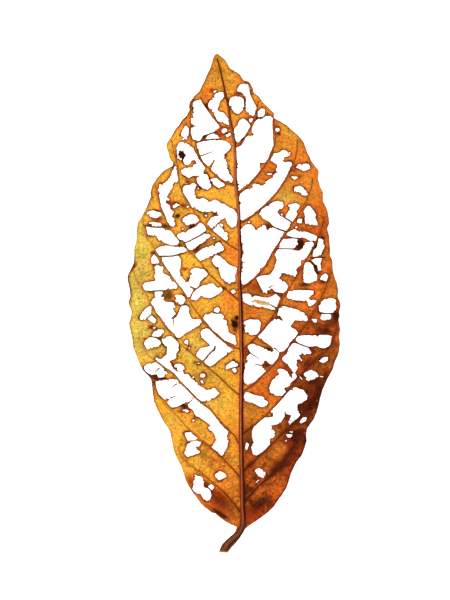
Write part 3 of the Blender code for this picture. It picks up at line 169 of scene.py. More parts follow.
# Side veins from the midrib outwards, tip to base.
SIDE_VEINS_LEFT = [
    [(-0.9, 52.5), (-2.5, 52.5), (-4, 53.1), (-5.5, 54.8), (-7.2, 57), (-9.4, 60), (-10, 62)],
    [(0.3, 35.2), (-2.7, 35.9), (-5, 37.5), (-7.5, 40.3), (-9.7, 42.5), (-10.2, 43.8), (-12.7, 47.5),
     (-13.1, 51), (-13.1, 55.5), (-13.2, 57.6)],
    [(1.4, 15.7), (-2, 17.8), (-5.3, 20.6), (-8.5, 23), (-11.5, 26.8), (-14.5, 31), (-15.8, 33.9),
     (-16.5, 36.5), (-16.9, 41), (-18, 45), (-18.8, 49)],
    [(1.5, 0.8), (-1.5, 3.2), (-5, 6.5), (-8.2, 9.5), (-10.6, 12.9), (-13.5, 15.5), (-17.3, 19.8),
     (-20.6, 24.9), (-22.2, 29.3), (-23.3, 33.5), (-23.5, 35.5)],
    [(1.7, -13.8), (-1.5, -12.5), (-5, -9.9), (-8.2, -6.5), (-12, -1.6), (-15, 3), (-19, 8.3),
     (-22.4, 13.2), (-24.4, 17.3), (-26.4, 19.6), (-27, 21.6), (-27.3, 23.6), (-27.5, 25.6)],
    [(1.6, -27.6), (-1.6, -24.9), (-4.6, -21.9), (-7.8, -19.3), (-11.2, -16.2), (-14.8, -13.4),
     (-18.5, -9.8), (-21.5, -6), (-24.6, -1), (-26.2, 2.2), (-28.6, 5.6), (-30.2, 9.4)],
    [(1.3, -42), (0, -39.6), (-2, -37.8), (-5, -34.4), (-8, -31.1), (-9.4, -30.1),
     (-12.2, -28), (-15.1, -24.7), (-17.3, -22.3), (-20, -19.9), (-22, -18.6), (-25, -16.3),
     (-27, -14), (-28.7, -10.5)],
    [(1.4, -52), (0.3, -50.4), (-3, -47), (-7, -43.3), (-11, -40.3), (-15, -36.4),
     (-18.2, -32.8), (-21, -30.3), (-22.9, -27.4)],
    [(1.7, -62.6), (0.3, -60.5), (-3.5, -56.2), (-7.5, -52.9), (-11.5, -49.8), (-14.6, -47.4),
     (-16.2, -45.6), (-16.8, -43.4)],
]
SIDE_VEINS_RIGHT = [
    [(0.5, 46.8), (2.3, 47.7), (4.2, 51.3), (6.3, 54.8), (7, 57.2), (6.9, 59), (7.6, 60.8)],
    [(0.9, 32.6), (3.2, 34.1), (6.8, 38), (10.1, 42.5), (12.2, 47.5), (12.3, 52), (11.8, 55.6)],
    [(1.7, 23.7), (4.5, 25.3), (8.5, 28.5), (12.8, 33), (16.4, 38.5), (18.6, 44.5), (19.1, 49)],
    [(1.9, 4), (4.5, 5.9), (8.6, 9.8), (11.5, 15), (15.5, 20.8), (20, 27.5), (22.8, 33.5),
     (23.6, 37.5)],
    [(2.3, -14.2), (5, -11.8), (10, -6.4), (13.6, -0.4), (18.2, 7.2), (22.5, 14.4), (25.3, 19.6),
     (27, 25.6)],
    [(2.5, -26.4), (5.3, -24.8), (8.3, -22), (12.6, -17.8), (13.8, -15.6), (15.6, -14.2),
     (18, -11), (22.2, -5.5), (25.4, 0.2), (27.6, 5), (29, 9.4)],
    [(2.4, -39.3), (4.5, -37.8), (8.8, -34.3), (12.1, -31), (15.5, -27.2), (18, -24),
     (20.2, -21.4), (22.6, -19), (25, -16.4), (27.2, -14.7), (28.8, -13.2), (30.1, -9.9),
     (30.8, -6.6)],
    [(2.6, -50.6), (5.5, -47.9), (9.5, -44.3), (12.5, -41.2), (16, -38), (19.4, -34.9),
     (22.5, -30.6), (25.2, -25.8), (27.6, -20.8)],
    [(2.9, -60), (4.8, -57.7), (8.5, -53.8), (12.5, -50.6), (15.5, -46.5), (18.2, -42.9),
     (20.6, -39.2)],
]

# Strands that stay standing across holes in the solid too, as centre lines.
STRANDS = [
    [(6.6, 55.3), (8.8, 55.8), (10.4, 56.8)],
    [(-11.7, 48), (-9, 48.7), (-6.5, 49.1), (-3.8, 49.2)],
    [(-10.4, 48.3), (-9, 49.9), (-6.5, 51), (-4.9, 51.3)],
    [(-8.4, 21.4), (-10.3, 20.1), (-12.5, 19), (-15.8, 17.5)],
    [(-20.8, 22.7), (-24.5, 22.8), (-27.4, 23.5)],
    [(-22.6, 13.9), (-18.5, 14.05), (-15, 15)],
    [(-25.4, 3.4), (-21.8, 3.75), (-20.6, 3.5)],
    [(-18.6, 0.8), (-17.7, -0.2), (-16, -0.75), (-14, -0.1)],
    [(-14.5, -41.6), (-12.2, -41.4), (-10.3, -41)],
    [(-2, -19.9), (0.2, -19.3), (1.6, -18.9)],
    [(10.8, 23.5), (12.7, 22.3), (16.2, 21.2)],
    [(14.9, 25.7), (17.3, 24.3)],
    [(12.5, 16.3), (18.4, 16.2)],
    [(14.5, 19.6), (19.7, 19.4)],
    [(22.8, 13.6), (27.5, 13.7)],
    [(22.4, 12.7), (23.6, 12.2), (24.4, 10.8), (24.5, 9.7), (25.2, 8.6)],
    [(25.4, -3), (27, -3.15), (30.6, -3.2)],
    [(11.4, 3.1), (13.6, 2.9)],
    [(17.6, -11.6), (20.4, -12.6), (23, -13.5)],
    [(-24.8, -3.4), (-26.4, -4.9)],
    [(-25.5, -9.9), (-23.2, -10.4), (-21.4, -10.2)],
    [(-22.3, -10.4), (-21.85, -11.6), (-20.7, -13.5)],
    [(-24, -22.8), (-20.2, -22.5)],
    [(-27.5, -19.7), (-26.1, -21.1), (-24.7, -22.6)],
    [(-9.6, -17.9), (-8.2, -16.2), (-7, -14.8), (-5.8, -14), (-5.7, -12.8)],
    [(-15.4, 42), (-15.6, 44), (-15.3, 45.8)],
    [(5.2, 0.4), (8.2, 0.6), (10.5, -0.2), (13.2, -1.8)],
    [(-8.5, -54.7), (-7.1, -56.1), (-6.4, -56.8)],
]

# Hair-thin threads that only the scene shows; most end free in a hole.
THREADS = [
    [(-10.6, 43.9), (-8.8, 44.5), (-7.5, 45), (-6, 45.4)],
    [(-18.2, -4.4), (-18.2, -5.6), (-18, -6.8)],
    [(4.4, -14.6), (5.8, -15.6), (6.5, -16), (7.5, -16.7)],
    [(8.9, -18.7), (7.5, -18.6), (6.8, -18.4), (6, -18.7)],
    [(11.9, -13.4), (13, -14.2), (13.7, -14.8)],
    [(-17.2, -24.3), (-18, -24.8), (-18.9, -25.7)],
    [(-19.2, -28.6), (-18.2, -28.2), (-17.4, -27.9)],
    [(-13.6, -30), (-12.7, -29.2), (-12.4, -28.2)],
    [(-22.4, -19.5), (-23.2, -20.3), (-23.8, -21.1)],
    [(10.4, 4.4), (11.2, 5.1), (12, 5)],
    [(-2.9, 22.6), (-4, 22.9), (-4.6, 23.8)],
    [(-12.8, 53.1), (-11.9, 53), (-11.2, 53.2)],
    [(1.9, 17.5), (2.6, 17.6), (3.1, 17.7)],
    [(1.9, 15.1), (2.6, 15), (3.1, 14.8)],
    [(1.9, 12.1), (2.8, 12.2), (3.7, 12.3)],
    [(1.8, 9.4), (2.3, 9.5), (2.8, 9.6)],
]

# Small slits and pin-holes that only the scene shows: centre, length, width and turn in degrees.
SLITS = [
    ((20, -22.4), 1.7, 0.3, -50), ((26.3, -22.1), 1.3, 0.26, -10), ((7, -53.5), 1.5, 0.3, 42),
    ((-10.6, -18.1), 0.5, 0.42, 0), ((-12.2, -22.3), 0.6, 0.45, 30), ((-15.4, 22.2), 0.5, 0.42, 0),
    ((-6, 19.4), 0.55, 0.42, 0), ((-10.7, 34.3), 0.45, 0.4, 0), ((-13.4, -13.4), 0.7, 0.26, 70),
]

# Dead scraps of tissue that hang in holes: colour and outline in plan.
SCRAPS = [
    ("dark", [(-16.9, 44.5), (-16.4, 45), (-16.4, 45.8), (-15.8, 45.4), (-15.1, 45.7), (-15.1, 44.8),
              (-14.4, 44.3), (-15, 43.9), (-15.1, 43), (-15.7, 43.6), (-16.4, 43.5), (-16.2, 44.1)]),
    ("tan", [(5.6, 0.9), (7.4, 1), (9.4, 0.4), (11.1, -0.8), (9.4, -0.6), (7.4, -0.3)]),
]

# Colours as they look on screen, red, green and blue from 0 to 255.
PALETTE = {
    "gold": (252, 200, 64),
    "ochre": (224, 158, 54),
    "orange": (244, 148, 44),
    "deep": (234, 112, 36),
    "rust": (166, 55, 14),
    "olive": (218, 194, 84),
    "moss": (144, 126, 44),
    "brown": (98, 33, 10),
    "dark": (52, 13, 4),
    "black": (10, 7, 5),
    "maroon": (64, 14, 8),
    "umber": (108, 66, 42),
    "rose": (204, 128, 84),
    "tan": (240, 194, 126),
}

# Colour over the blade: centre x and y, reach along and across, colour, strength, and then the
# turn in degrees where there is one.
REGIONS = [
    # Broad fields.
    (-16, 10, 26, 60, "gold", 0.75),
    (17, 0, 15, 62, "deep", 0.7),
    (-2, 66.5, 7.5, 8.5, "ochre", 0.9),
    (1.5, 65.5, 3.5, 5, "ochre", 0.8, 20),
    (-20, 34, 6, 12, "ochre", 0.5),
    (-14.6, 54, 2.2, 3.6, "rust", 0.55, 30),
    (-29.5, 6, 6, 24, "olive", 0.95),
    (-25, -10, 8.5, 10, "olive", 0.85),
    (-29, 14, 4.5, 9, "olive", 0.7),
    (-9, 28.5, 4.5, 3, "olive", 0.22),
    (-8, -24, 9, 13, "gold", 0.6, 35),
    (-11, -12, 4.5, 2.6, "olive", 0.4, 40),
    (-5.5, -30, 3.4, 5, "olive", 0.25),
    (-18.5, -36.5, 3.2, 3.4, "olive", 0.42),
    (-8.6, -46, 4.4, 3, "moss", 0.32, -35),
    (-12, -47, 6, 10, "gold", 0.5, 25),
    (-1, 15.5, 3.4, 4, "deep", 0.75),
    (-1, 0.5, 3.2, 5, "deep", 0.6),
    (-2.5, -55, 5, 12, "orange", 0.8, 20),
    (-5.2, -58.8, 4, 3.2, "rust", 0.8, -35),
    (-10.6, -55.5, 2.6, 3.6, "rust", 0.6),
    (14, 46, 8, 7, "orange", 0.5),
    (19.5, 36.5, 5, 5, "ochre", 0.5),
    (10.3, 38.8, 3.4, 3.2, "rust", 0.5),
    (26.4, 24, 3.2, 8, "rust", 0.28),
    (21.5, 22.6, 4, 0.9, "brown", 0.85, -10),
    (20, 17, 1, 1.8, "brown", 0.8),
    (29.2, 6, 3, 11, "rust", 0.25),
    (17.5, 8, 4, 2, "rust", 0.65, 20),
    (6.8, 4.4, 5.5, 1.7, "rust", 0.75, -8),
    (12.5, 24.8, 6, 2, "ochre", 0.5),
    (4, -2.8, 3, 1.9, "rust", 0.45),
    (20, -9, 12, 5, "rust", 0.55, -15),
    (30, -6.5, 2.4, 6, "rust", 0.6),
    (25.5, -15.5, 6, 6, "brown", 0.5),
    (22.5, -22.5, 6, 6, "brown", 0.72, 20),
    (23, -29, 5, 8, "dark", 0.92, -15),
    (19, -38.5, 5, 8, "dark", 0.88, -20),
    (16, -46.5, 4, 4, "brown", 0.55),
    (12, -44.5, 2.6, 3, "deep", 0.85),
    (12, -49.3, 4.4, 1.7, "dark", 0.7, 38),
    (13, -56, 4, 4, "deep", 0.85, 25),
    (7.5, -61.5, 4.2, 3, "dark", 0.7, 35),
    (-6.5, -62, 5, 2.4, "rust", 0.7, -32),
    (4.6, -48.5, 2.4, 13, "rust", 0.8),
    (21.5, -40.5, 2.4, 7, "dark", 0.8, -10),
    (18.5, -50, 2.6, 5, "rust", 0.7, -20),
    (5.6, -33.2, 3.6, 4.2, "orange", 0.8),
    (9, -25.5, 5, 3.6, "deep", 0.6, 40),
    (15, -23, 3, 5, "rust", 0.6, 30),
    (12.4, -37.4, 2.6, 1.4, "brown", 0.75, -30),
    (16.2, -34.2, 1.6, 1.5, "brown", 0.8),
    (-28.5, 10, 3.4, 7, "moss", 0.15),
    (-14, -12.5, 5, 6.5, "olive", 0.5, 40),
    (-22, -14.5, 3.2, 2.2, "moss", 0.35),
    (8, -62, 8.5, 6, "rust", 0.75, 35),
    (17.5, -42.5, 4.5, 5.5, "brown", 0.75, -20),
    (8, -2.5, 6, 3, "deep", 0.5, -20),
]

# Small dead patches and stains, in the same terms.
STAINS = [
    (-15.4, -30.8, 2.2, 1, "dark", 0.85, -25),
    (-15.9, -32.6, 1.3, 0.6, "rust", 0.8),
    (-23.9, -22.2, 1.2, 1, "brown", 0.85),
    (-21.2, -22.8, 1.6, 0.5, "dark", 0.8),
    (-5.6, -13.4, 0.7, 0.9, "dark", 0.9),
    (-15.6, 44.5, 1.6, 1.8, "dark", 0.95),
    (10.2, 22.7, 1.1, 1.6, "brown", 0.9),
    (18.8, 17.6, 1, 2.2, "brown", 0.7),
    (-19.7, 2.2, 2, 2.2, "brown", 0.75),
    (9.8, -18.3, 1.7, 1.3, "brown", 0.85, 30),
    (16, -20.3, 1.6, 2.6, "rust", 0.75, -25),
    (3.5, -15.2, 0.9, 2.4, "rust", 0.8),
    (10.4, -13.9, 1.6, 0.8, "maroon", 0.85, -25),
    (-17.9, -19.2, 1.5, 1.9, "rust", 0.6),
    (-8.2, 58.4, 1.2, 1.4, "rust", 0.75, 40),
    (-3.2, 51, 2.2, 1.8, "rust", 0.7),
    (5.4, 55.2, 2.4, 1.3, "rust", 0.75),
    (1.4, 62.8, 2.6, 0.8, "rust", 0.65, 10),
    (3.2, 60, 0.7, 2.2, "brown", 0.6),
    (12.9, 51.6, 1.5, 1.5, "rust", 0.5),
    (-11.4, 36.8, 1.8, 0.7, "rust", 0.6),
    (-8.6, 35.4, 0.9, 1.3, "brown", 0.6),
    (-19.5, 27.6, 1.6, 2.4, "rust", 0.55),
    (-13.4, 24.9, 2, 1, "rust", 0.3),
    (-12.4, 21.6, 4, 0.7, "rust", 0.6, 22),
    (-9.6, 17, 5, 0.9, "brown", 0.6, 28),
    (-23.5, 23.5, 2.2, 0.8, "rust", 0.6),
    (-9, 43, 1.2, 1.2, "rust", 0.4),
    (0.5, -6.2, 2, 2.8, "rust", 0.6),
    (0.3, -6.4, 0.95, 1, "black", 1.8),
    (0.8, -4.4, 0.65, 0.6, "black", 1.8),
    (-0.5, -5.3, 0.4, 0.4, "black", 1.4),
    (2.7, -7.6, 0.5, 0.5, "black", 1.6),
    (-0.1, -17, 0.5, 0.5, "black", 1.6),
    (0.3, -8.2, 0.8, 0.5, "dark", 0.7),
    # Dark spots at the rims and along the veins, left half.
    (-16.9, 26.1, 0.85, 0.75, "dark", 0.95, 30),
    (-12.6, 22.8, 1.5, 0.7, "dark", 0.95, 15),
    (-23, 25.1, 1.8, 0.7, "rust", 0.9),
    (-20.4, 23.1, 1.6, 0.6, "dark", 0.8, -20),
    (-19, 29.6, 1.1, 1.5, "rust", 0.85),
    (-15.2, 29.2, 0.7, 0.9, "rust", 0.9),
    (-16.5, 17.3, 1.1, 0.5, "dark", 0.9),
    (-16.3, 18.7, 0.6, 0.6, "dark", 0.8),
    (-11.3, 16.1, 1.5, 1.1, "brown", 0.85, 40),
    (-24.3, 15.1, 0.9, 0.7, "brown", 0.9),
    (-14.8, 10.2, 1.4, 0.6, "rust", 0.8),
    (-13.6, 7, 0.9, 0.8, "dark", 0.75),
    (-30.3, 10.8, 0.7, 1.9, "brown", 0.9, -35),
    (-10.2, 34.5, 0.9, 0.7, "dark", 0.9),
    (-7.1, 35.9, 0.7, 0.8, "dark", 0.95),
    (-13.8, 36.4, 0.9, 0.6, "brown", 0.85),
    (-5.8, 26.6, 1, 0.6, "dark", 0.8, -15),
    (-2.7, 44.3, 0.8, 0.8, "dark", 0.85),
    (-4.8, 50.9, 1.3, 0.9, "rust", 0.9),
    (-8.6, 49.8, 1.2, 0.8, "rust", 0.55, 20),
    (-5.5, -57.8, 5.2, 2.2, "rust", 0.7, -38),
    (-4.6, -58.6, 4.4, 1.6, "brown", 0.45, -38),
    (-13, -53.6, 1.2, 2.2, "rust", 0.75, 25),
    (-11.8, 42.4, 1, 0.8, "brown", 0.7),
    (-8.6, 38.8, 0.7, 0.7, "dark", 0.8),
    (-18.4, 41.2, 0.9, 1.1, "dark", 0.7, -30),
    (-2.9, 4.4, 0.6, 0.6, "maroon", 0.9),
    (-4.2, 18.4, 0.7, 0.6, "dark", 0.8),
    (-8.3, 9.6, 0.6, 0.6, "dark", 0.8),
    # The same, right half.
    (26.4, 19.4, 1, 0.7, "black", 0.9),
    (20.1, 17.6, 1.3, 2.1, "dark", 0.9),
    (24.3, 16.4, 0.7, 1.5, "dark", 0.85, -30),
    (24.2, 11, 0.9, 1.2, "dark", 0.85),
    (25.3, 9, 1, 0.7, "dark", 0.7, -30),
    (26.7, 6.3, 1.4, 0.6, "dark", 0.8),
    (21.1, 5.5, 2.2, 0.8, "maroon", 0.75, 8),
    (19.2, 10.3, 1.1, 1, "rust", 0.9),
    (9.6, 3.1, 1.9, 0.7, "dark", 0.75),
    (14.1, 2.4, 0.9, 1.3, "dark", 0.7),
    (30.7, -4, 1.4, 1.8, "dark", 0.85),
    (28.8, -6.2, 2.6, 1.5, "maroon", 0.65, 10),
    (26.8, -8.4, 2.6, 1.1, "maroon", 0.7),
    (-11.8, -17.8, 0.5, 0.4, "rust", 0.9),
    (-14, -13.8, 0.5, 0.5, "rust", 0.9),
    (-3.9, -63.3, 3.2, 0.62, "dark", 0.95, -32),
    (-3.3, -63.9, 1.1, 0.4, "black", 0.9, -32),
    (-8.3, -54.2, 1, 1.3, "brown", 0.7),
    (-6.3, -55.4, 0.8, 0.8, "brown", 0.7),
    (16, -50.2, 1.8, 2.2, "rust", 0.6),
    (16.4, -48.4, 1.1, 0.8, "maroon", 0.6),
    (12.4, -50.2, 3.6, 1.2, "dark", 0.7, 36),
    (5.4, -64.4, 4.4, 2.6, "rust", 0.65, 35),
    (14.4, -48.6, 2.6, 1.8, "brown", 0.55, 30),
    (17, -46, 2, 2.8, "brown", 0.55, -20),
    (6.8, -60.6, 2.6, 2, "maroon", 0.5, 35),
    (6, 4.6, 4, 1.8, "rust", 0.4, -10),
    (-25, -7.2, 1, 0.8, "rust", 0.95),
    (-13.7, -12.6, 0.6, 0.8, "maroon", 0.75, 30),
    (-26.6, -10.8, 0.9, 0.5, "rust", 0.8),
    (-8.6, 62.6, 1.6, 2.6, "deep", 0.6),
    (-8.2, 59.3, 0.7, 0.9, "maroon", 0.8, 40),
    (-6.7, 63.9, 0.8, 0.8, "rust", 0.9),
    (-2.2, -62.4, 3.2, 1.4, "rust", 0.45, -38),
    (14.3, -43.8, 1.4, 1.4, "ochre", 0.35),
    (9.6, -54.6, 1.8, 1.4, "brown", 0.35, 40),
    (2.9, 58.6, 1, 0.7, "maroon", 0.6),
    (1.8, 62.9, 2.2, 0.6, "brown", 0.6, 10),
    (13.4, 50.7, 0.6, 0.5, "maroon", 0.8),
    (13.2, 53, 0.9, 0.5, "maroon", 0.6),
    (-3.4, -59.8, 4.4, 2.2, "brown", 0.5, -38),
    (0.9, 66.3, 2.2, 2.8, "rust", 0.2),
    (12.8, -55.8, 3, 1.9, "deep", 0.55, 40),
    (17, -52, 1.2, 2.4, "rust", 0.6, -20),
    (12, -44.8, 2.2, 2.4, "orange", 0.4),
    (8.2, -60, 2.2, 1.3, "dark", 0.6, 35),
    (-12, 11.6, 0.5, 0.5, "brown", 0.7),
    (-17.8, 30.2, 0.6, 0.5, "brown", 0.7),
    (14.5, 31.6, 5, 2.4, "olive", 0.45, -15),
    (16.6, 52.4, 4, 2, "gold", 0.45, -38),
    (10.2, 38.8, 3, 2.8, "deep", 0.5),
    (19.6, 37.8, 1, 0.6, "rust", 0.85, 20),
    (17.4, 39.9, 1.6, 0.6, "rust", 0.7, -20),
    (27, -26.5, 1.4, 3.4, "dark", 0.6, -25),
]

# Strands that are paler than the rest, in the same terms.
PALE_STRANDS = [
    (8.2, 0.3, 4, 1.2, "tan", 1, -12),
    (-12.4, -41.3, 3.6, 1.2, "orange", 0.7),
]

# Zones with dead dark blotches and dense specks, in the same terms without the colour.
BLOTCHED = [
    (11, -54, 17, 10, 0.8, 60),
    (24.5, -24, 9, 15, 0.9),
    (18.5, -39, 7, 9, 1),
    (4.6, -50, 2.6, 15, 0.8),
    (24, -8, 10, 8, 0.45),
    (28, 12, 5, 20, 0.3),
    (-9, -46, 8, 6, 0.45, -35),
    (-7, -27, 8, 11, 0.2, 35),
    (-4, 69, 5, 7, 0.2),
]

# How the tints are mixed: field weights, the gain on stains and how sharply a zone ends.
WARP_REACH = (0.9, 0.35)
TONE_WEIGHTS = (0.10, 0.12, 0.08)
STAIN_GAIN = 1.25
ZONE_FALL = 1.6

# Fine spots, specks and net lines of the tissue, scene-linear.
OLIVE_SPOT = (0.5, 0.42, 0.25, 1.0)
RED_SPOT = (0.45, 0.2, 0.12, 1.0)
RED_STAIN = (1.0, 0.66, 0.45, 1.0)
DARK_SPECK = (0.05, 0.014, 0.004, 1.0)
PALE_SPECK = (0.5, 0.22, 0.07, 1.0)
NET_BROWN = (0.16, 0.055, 0.015, 1.0)
BUMP_HEIGHT = 0.06 * MM
SPECULAR = 0.03

# Fineness of the mottling, specks, net and streaks, in grains or cells to the metre.
MOTTLE_SCALE = 1500.0
CLOUD_SCALE = 420.0
FLECK_SCALE = 1900.0
DARK_SPECKS = ((1100.0, 0.3), (700.0, 0.27))
PALE_SPECK_SCALE = 620.0
WEB_SCALE = 900.0
STREAK_SCALE = 5200.0
STREAK_STRETCH = 0.12
GRAIN_SCALE = 1600.0

RAG_SEED = 21
NET_SEED = 22
SCRAP_SEED = 23
SPREAD_SEED = 61


def srgb(name):
    """Palette colour as scene-linear red, green and blue."""
    values = np.array(PALETTE[name]) / 255.0
    return np.where(values <= 0.04045, values / 12.92, ((values + 0.055) / 1.055) ** 2.4)


def unit(value):
    """Values held between 0 and 1."""
    return np.clip(value, 0.0, 1.0)


def fading(away, reach, power=2):
    """1 at no distance, falling to nothing past a reach."""
    return np.exp(-(away / reach) ** power)


class Field:
    """Smooth random field over the plan, about -1 to 1, the same for the same seed."""

    SIZE = 97
    SHIFT = (200.5, 300.5)

    def __init__(self, seed, wavelength):
        self.grid = np.random.default_rng(seed).uniform(-1.0, 1.0, (self.SIZE, self.SIZE))
        self.wavelength = wavelength

    def at(self, x, y):
        """Value at each place."""
        u = np.asarray(x) / self.wavelength + self.SHIFT[0]
        v = np.asarray(y) / self.wavelength + self.SHIFT[1]
        i = np.floor(u).astype(int)
        j = np.floor(v).astype(int)
        fu = (u - i) ** 2 * (3.0 - 2.0 * (u - i))
        fv = (v - j) ** 2 * (3.0 - 2.0 * (v - j))
        corner = [[self.grid[(i + a) % self.SIZE, (j + b) % self.SIZE] for b in (0, 1)] for a in (0, 1)]
        low = corner[0][0] * (1.0 - fv) + corner[0][1] * fv
        high = corner[1][0] * (1.0 - fv) + corner[1][1] * fv
        return low * (1.0 - fu) + high * fu


def fields(seed, *wavelengths):
    """Fields with seeds that count up from the given one."""
    return [Field(seed + k, wavelength) for k, wavelength in enumerate(wavelengths)]


def layered(layers, weights, x, y):
    """Weighted sum of fields at each place."""
    return sum(weight * layer.at(x, y) for layer, weight in zip(layers, weights))


def smooth_line(points, step):
    """Evenly spaced points on a Catmull-Rom curve through the given ones, all columns alike."""
    points = np.array(points, dtype=float)
    before = np.vstack([points[:1], points[:-1]])
    after = np.vstack([points[2:], points[-1:], points[-1:]])
    fine = [points[:1]]
    t = np.linspace(0.0, 1.0, CURVE_STEPS + 1)[1:, None]
    for i in range(len(points) - 1):
        a, b, c, d = before[i], points[i], points[i + 1], after[i]
        fine.append(0.5 * (2 * b + (c - a) * t + (2 * a - 5 * b + 4 * c - d) * t ** 2
                           + (3 * b - a - 3 * c + d) * t ** 3))
    return resampled(np.vstack(fine), step, False)


def resampled(points, step, closed):
    """Points spaced evenly along a line, by straight steps between the given ones."""
    line = np.vstack([points, points[:1]]) if closed else points
    lengths = np.hypot(*np.diff(line[:, :2], axis=0).T)
    along = np.concatenate([[0.0], np.cumsum(lengths)])
    count = max(6, round(along[-1] / step))
    places = np.linspace(0.0, along[-1], count, endpoint=not closed)
    return np.column_stack([np.interp(places, along, line[:, k]) for k in range(line.shape[1])])


class Near:
    """Nearest of a set of plan points."""

    def __init__(self, points):
        self.points = np.array([p[:2] for p in points])
        self.tree = KDTree(len(self.points))
        for i, (x, y) in enumerate(self.points):
            self.tree.insert((x, y, 0.0), i)
        self.tree.balance()

    def find(self, places):
        """Distance to the nearest point and its index, for each place."""
        found = [self.tree.find((x, y, 0.0)) for x, y in places]
        return np.array([f[2] for f in found]), np.array([f[1] for f in found])


def sheet_height(x, y):
    """Underside height of the arched sheet, as in the solid."""
    towards_tip = CROWN_HEIGHT - TIP_DROP * ((y - CROWN_Y) / (TIP_Y - CROWN_Y)) ** 2
    towards_base = CROWN_HEIGHT - BASE_DROP * ((y - CROWN_Y) / (BASE_Y - CROWN_Y)) ** 2
    rise = np.where(y > CROWN_Y, towards_tip, towards_base)
    rise = rise - STALK_DROP * np.maximum(0.0, STALK_START_Y - y) / (STALK_START_Y + TIP_Y)
    sideways = np.abs(x - MIDDLE_X) / HALF_WIDTH
    rise = rise - SIDE_DROP * sideways ** SIDE_POWER
    rise = rise + WAVE_HEIGHT * sideways * np.sin(2 * np.pi * (y + WAVE_SLANT * x) / WAVE_LENGTH)
    for (spot_x, spot_y), reach in REST_SPOTS:
        away = np.maximum(0.0, np.hypot(x - spot_x, y - spot_y) - REST_SPOT_RADIUS)
        rise = rise * (1.0 - fading(away, reach))
    return rise


crinkles = fields(31, CRINKLE_LENGTH, CRINKLE_LENGTH * 0.45)


def blade_underside(x, y, vein_away):
    """Height of the thin blade's lower face: the sheet, sagging between veins and crinkled."""
    height = sheet_height(x, y)
    share = unit(height / FULL_RELIEF_HEIGHT)
    sag = SAG * (1.0 - fading(vein_away, SAG_REACH))
    crinkle = CRINKLE * layered(crinkles, (1.0, 0.5), x, y)
    return np.maximum(0.0, height + share * (crinkle - sag + 0.5 * SAG))


# Lines of the leaf, resampled.
side_veins = [smooth_line(v, VEIN_STEP) for v in SIDE_VEINS_LEFT + SIDE_VEINS_RIGHT]
strands = [smooth_line(s, STRAND_STEP) for s in STRANDS]
threads = [smooth_line(t, THREAD_STEP) for t in THREADS]
midrib_line = smooth_line(MIDRIB, MIDRIB_STEP)


def tapering(line, ends):
    """Value for each point of a line that changes evenly from its first to its last point."""
    return np.linspace(ends[0], ends[1], len(line))


strip_samples = np.vstack(side_veins + strands)
strip_cad_half = np.concatenate(
    [tapering(v, VEIN_STRIP) for v in side_veins] + [np.full(len(s), STRAND_STRIP) for s in strands])
strip_true_half = np.concatenate(
    [tapering(v, VEIN_TRUE) for v in side_veins] + [np.full(len(s), STRAND_TRUE) for s in strands])
strips = Near(strip_samples)
main_veins = Near(np.vstack(side_veins + [midrib_line[:, :2]]))


def cad_outlines(node):
    """Closed outlines, in plan, of a solid's upper face; its material lies on their left."""
    mesh = node.data
    mesh.calc_loop_triangles()
    places = np.empty(len(mesh.vertices) * 3, dtype=np.float32)
    mesh.vertices.foreach_get("co", places)
    corners = np.empty(len(mesh.loop_triangles) * 3, dtype=np.int32)
    mesh.loop_triangles.foreach_get("vertices", corners)
    plan, merged = np.unique(
        np.round(places.reshape(-1, 3)[:, :2] / MM, 3), axis=0, return_inverse=True)
    triangles = merged.ravel()[corners].reshape(-1, 3)
    a, b, c = (plan[triangles[:, k]] for k in range(3))
    ab, ac = b - a, c - a
    upward = triangles[ab[:, 0] * ac[:, 1] - ab[:, 1] * ac[:, 0] > SLIVER_AREA]
    return [plan[loop] for loop in boundary_loops(upward.tolist())]


def open_edges(faces):
    """Directed edges of triangles that no neighbour shares."""
    directed = {(f[k], f[(k + 1) % 3]) for f in faces for k in range(3)}
    return sorted((a, b) for a, b in directed if (b, a) not in directed)


def boundary_loops(triangles):
    """Loops of corner indices round a set of triangles."""
    after = dict(open_edges(triangles))
    loops = []
    while after:
        start, place = after.popitem()
        loop = [start]
        while place != start:
            loop.append(place)
            place = after.pop(place)
        loops.append(loop)
    return loops


def inward_of(line):
    """Unit vectors to the left of a closed line, where the material is."""
    run = np.roll(line, -1, axis=0) - np.roll(line, 1, axis=0)
    run /= np.maximum(1e-9, np.hypot(*run.T))[:, None]
    return np.column_stack([-run[:, 1], run[:, 0]])


def add_teeth(line, shift, free, draw):
    """Short teeth of tissue and torn veinlets that stand into a hole."""
    length = len(line) * EDGE_STEP
    for _ in range(int(length / TOOTH_SPACING)):
        middle = draw.integers(len(line))
        reach = TOOTH_REACH[0] + (TOOTH_REACH[1] - TOOTH_REACH[0]) * draw.random() ** 2
        width = draw.uniform(*TOOTH_WIDTH)
        steps = np.arange(len(line))
        away = np.minimum(np.abs(steps - middle), len(line) - np.abs(steps - middle)) * EDGE_STEP
        shift -= free * reach * fading(away, width)


hole_fields = fields(40, *HOLE_RAGS)
margin_fields = fields(50, *MARGIN_RAGS)


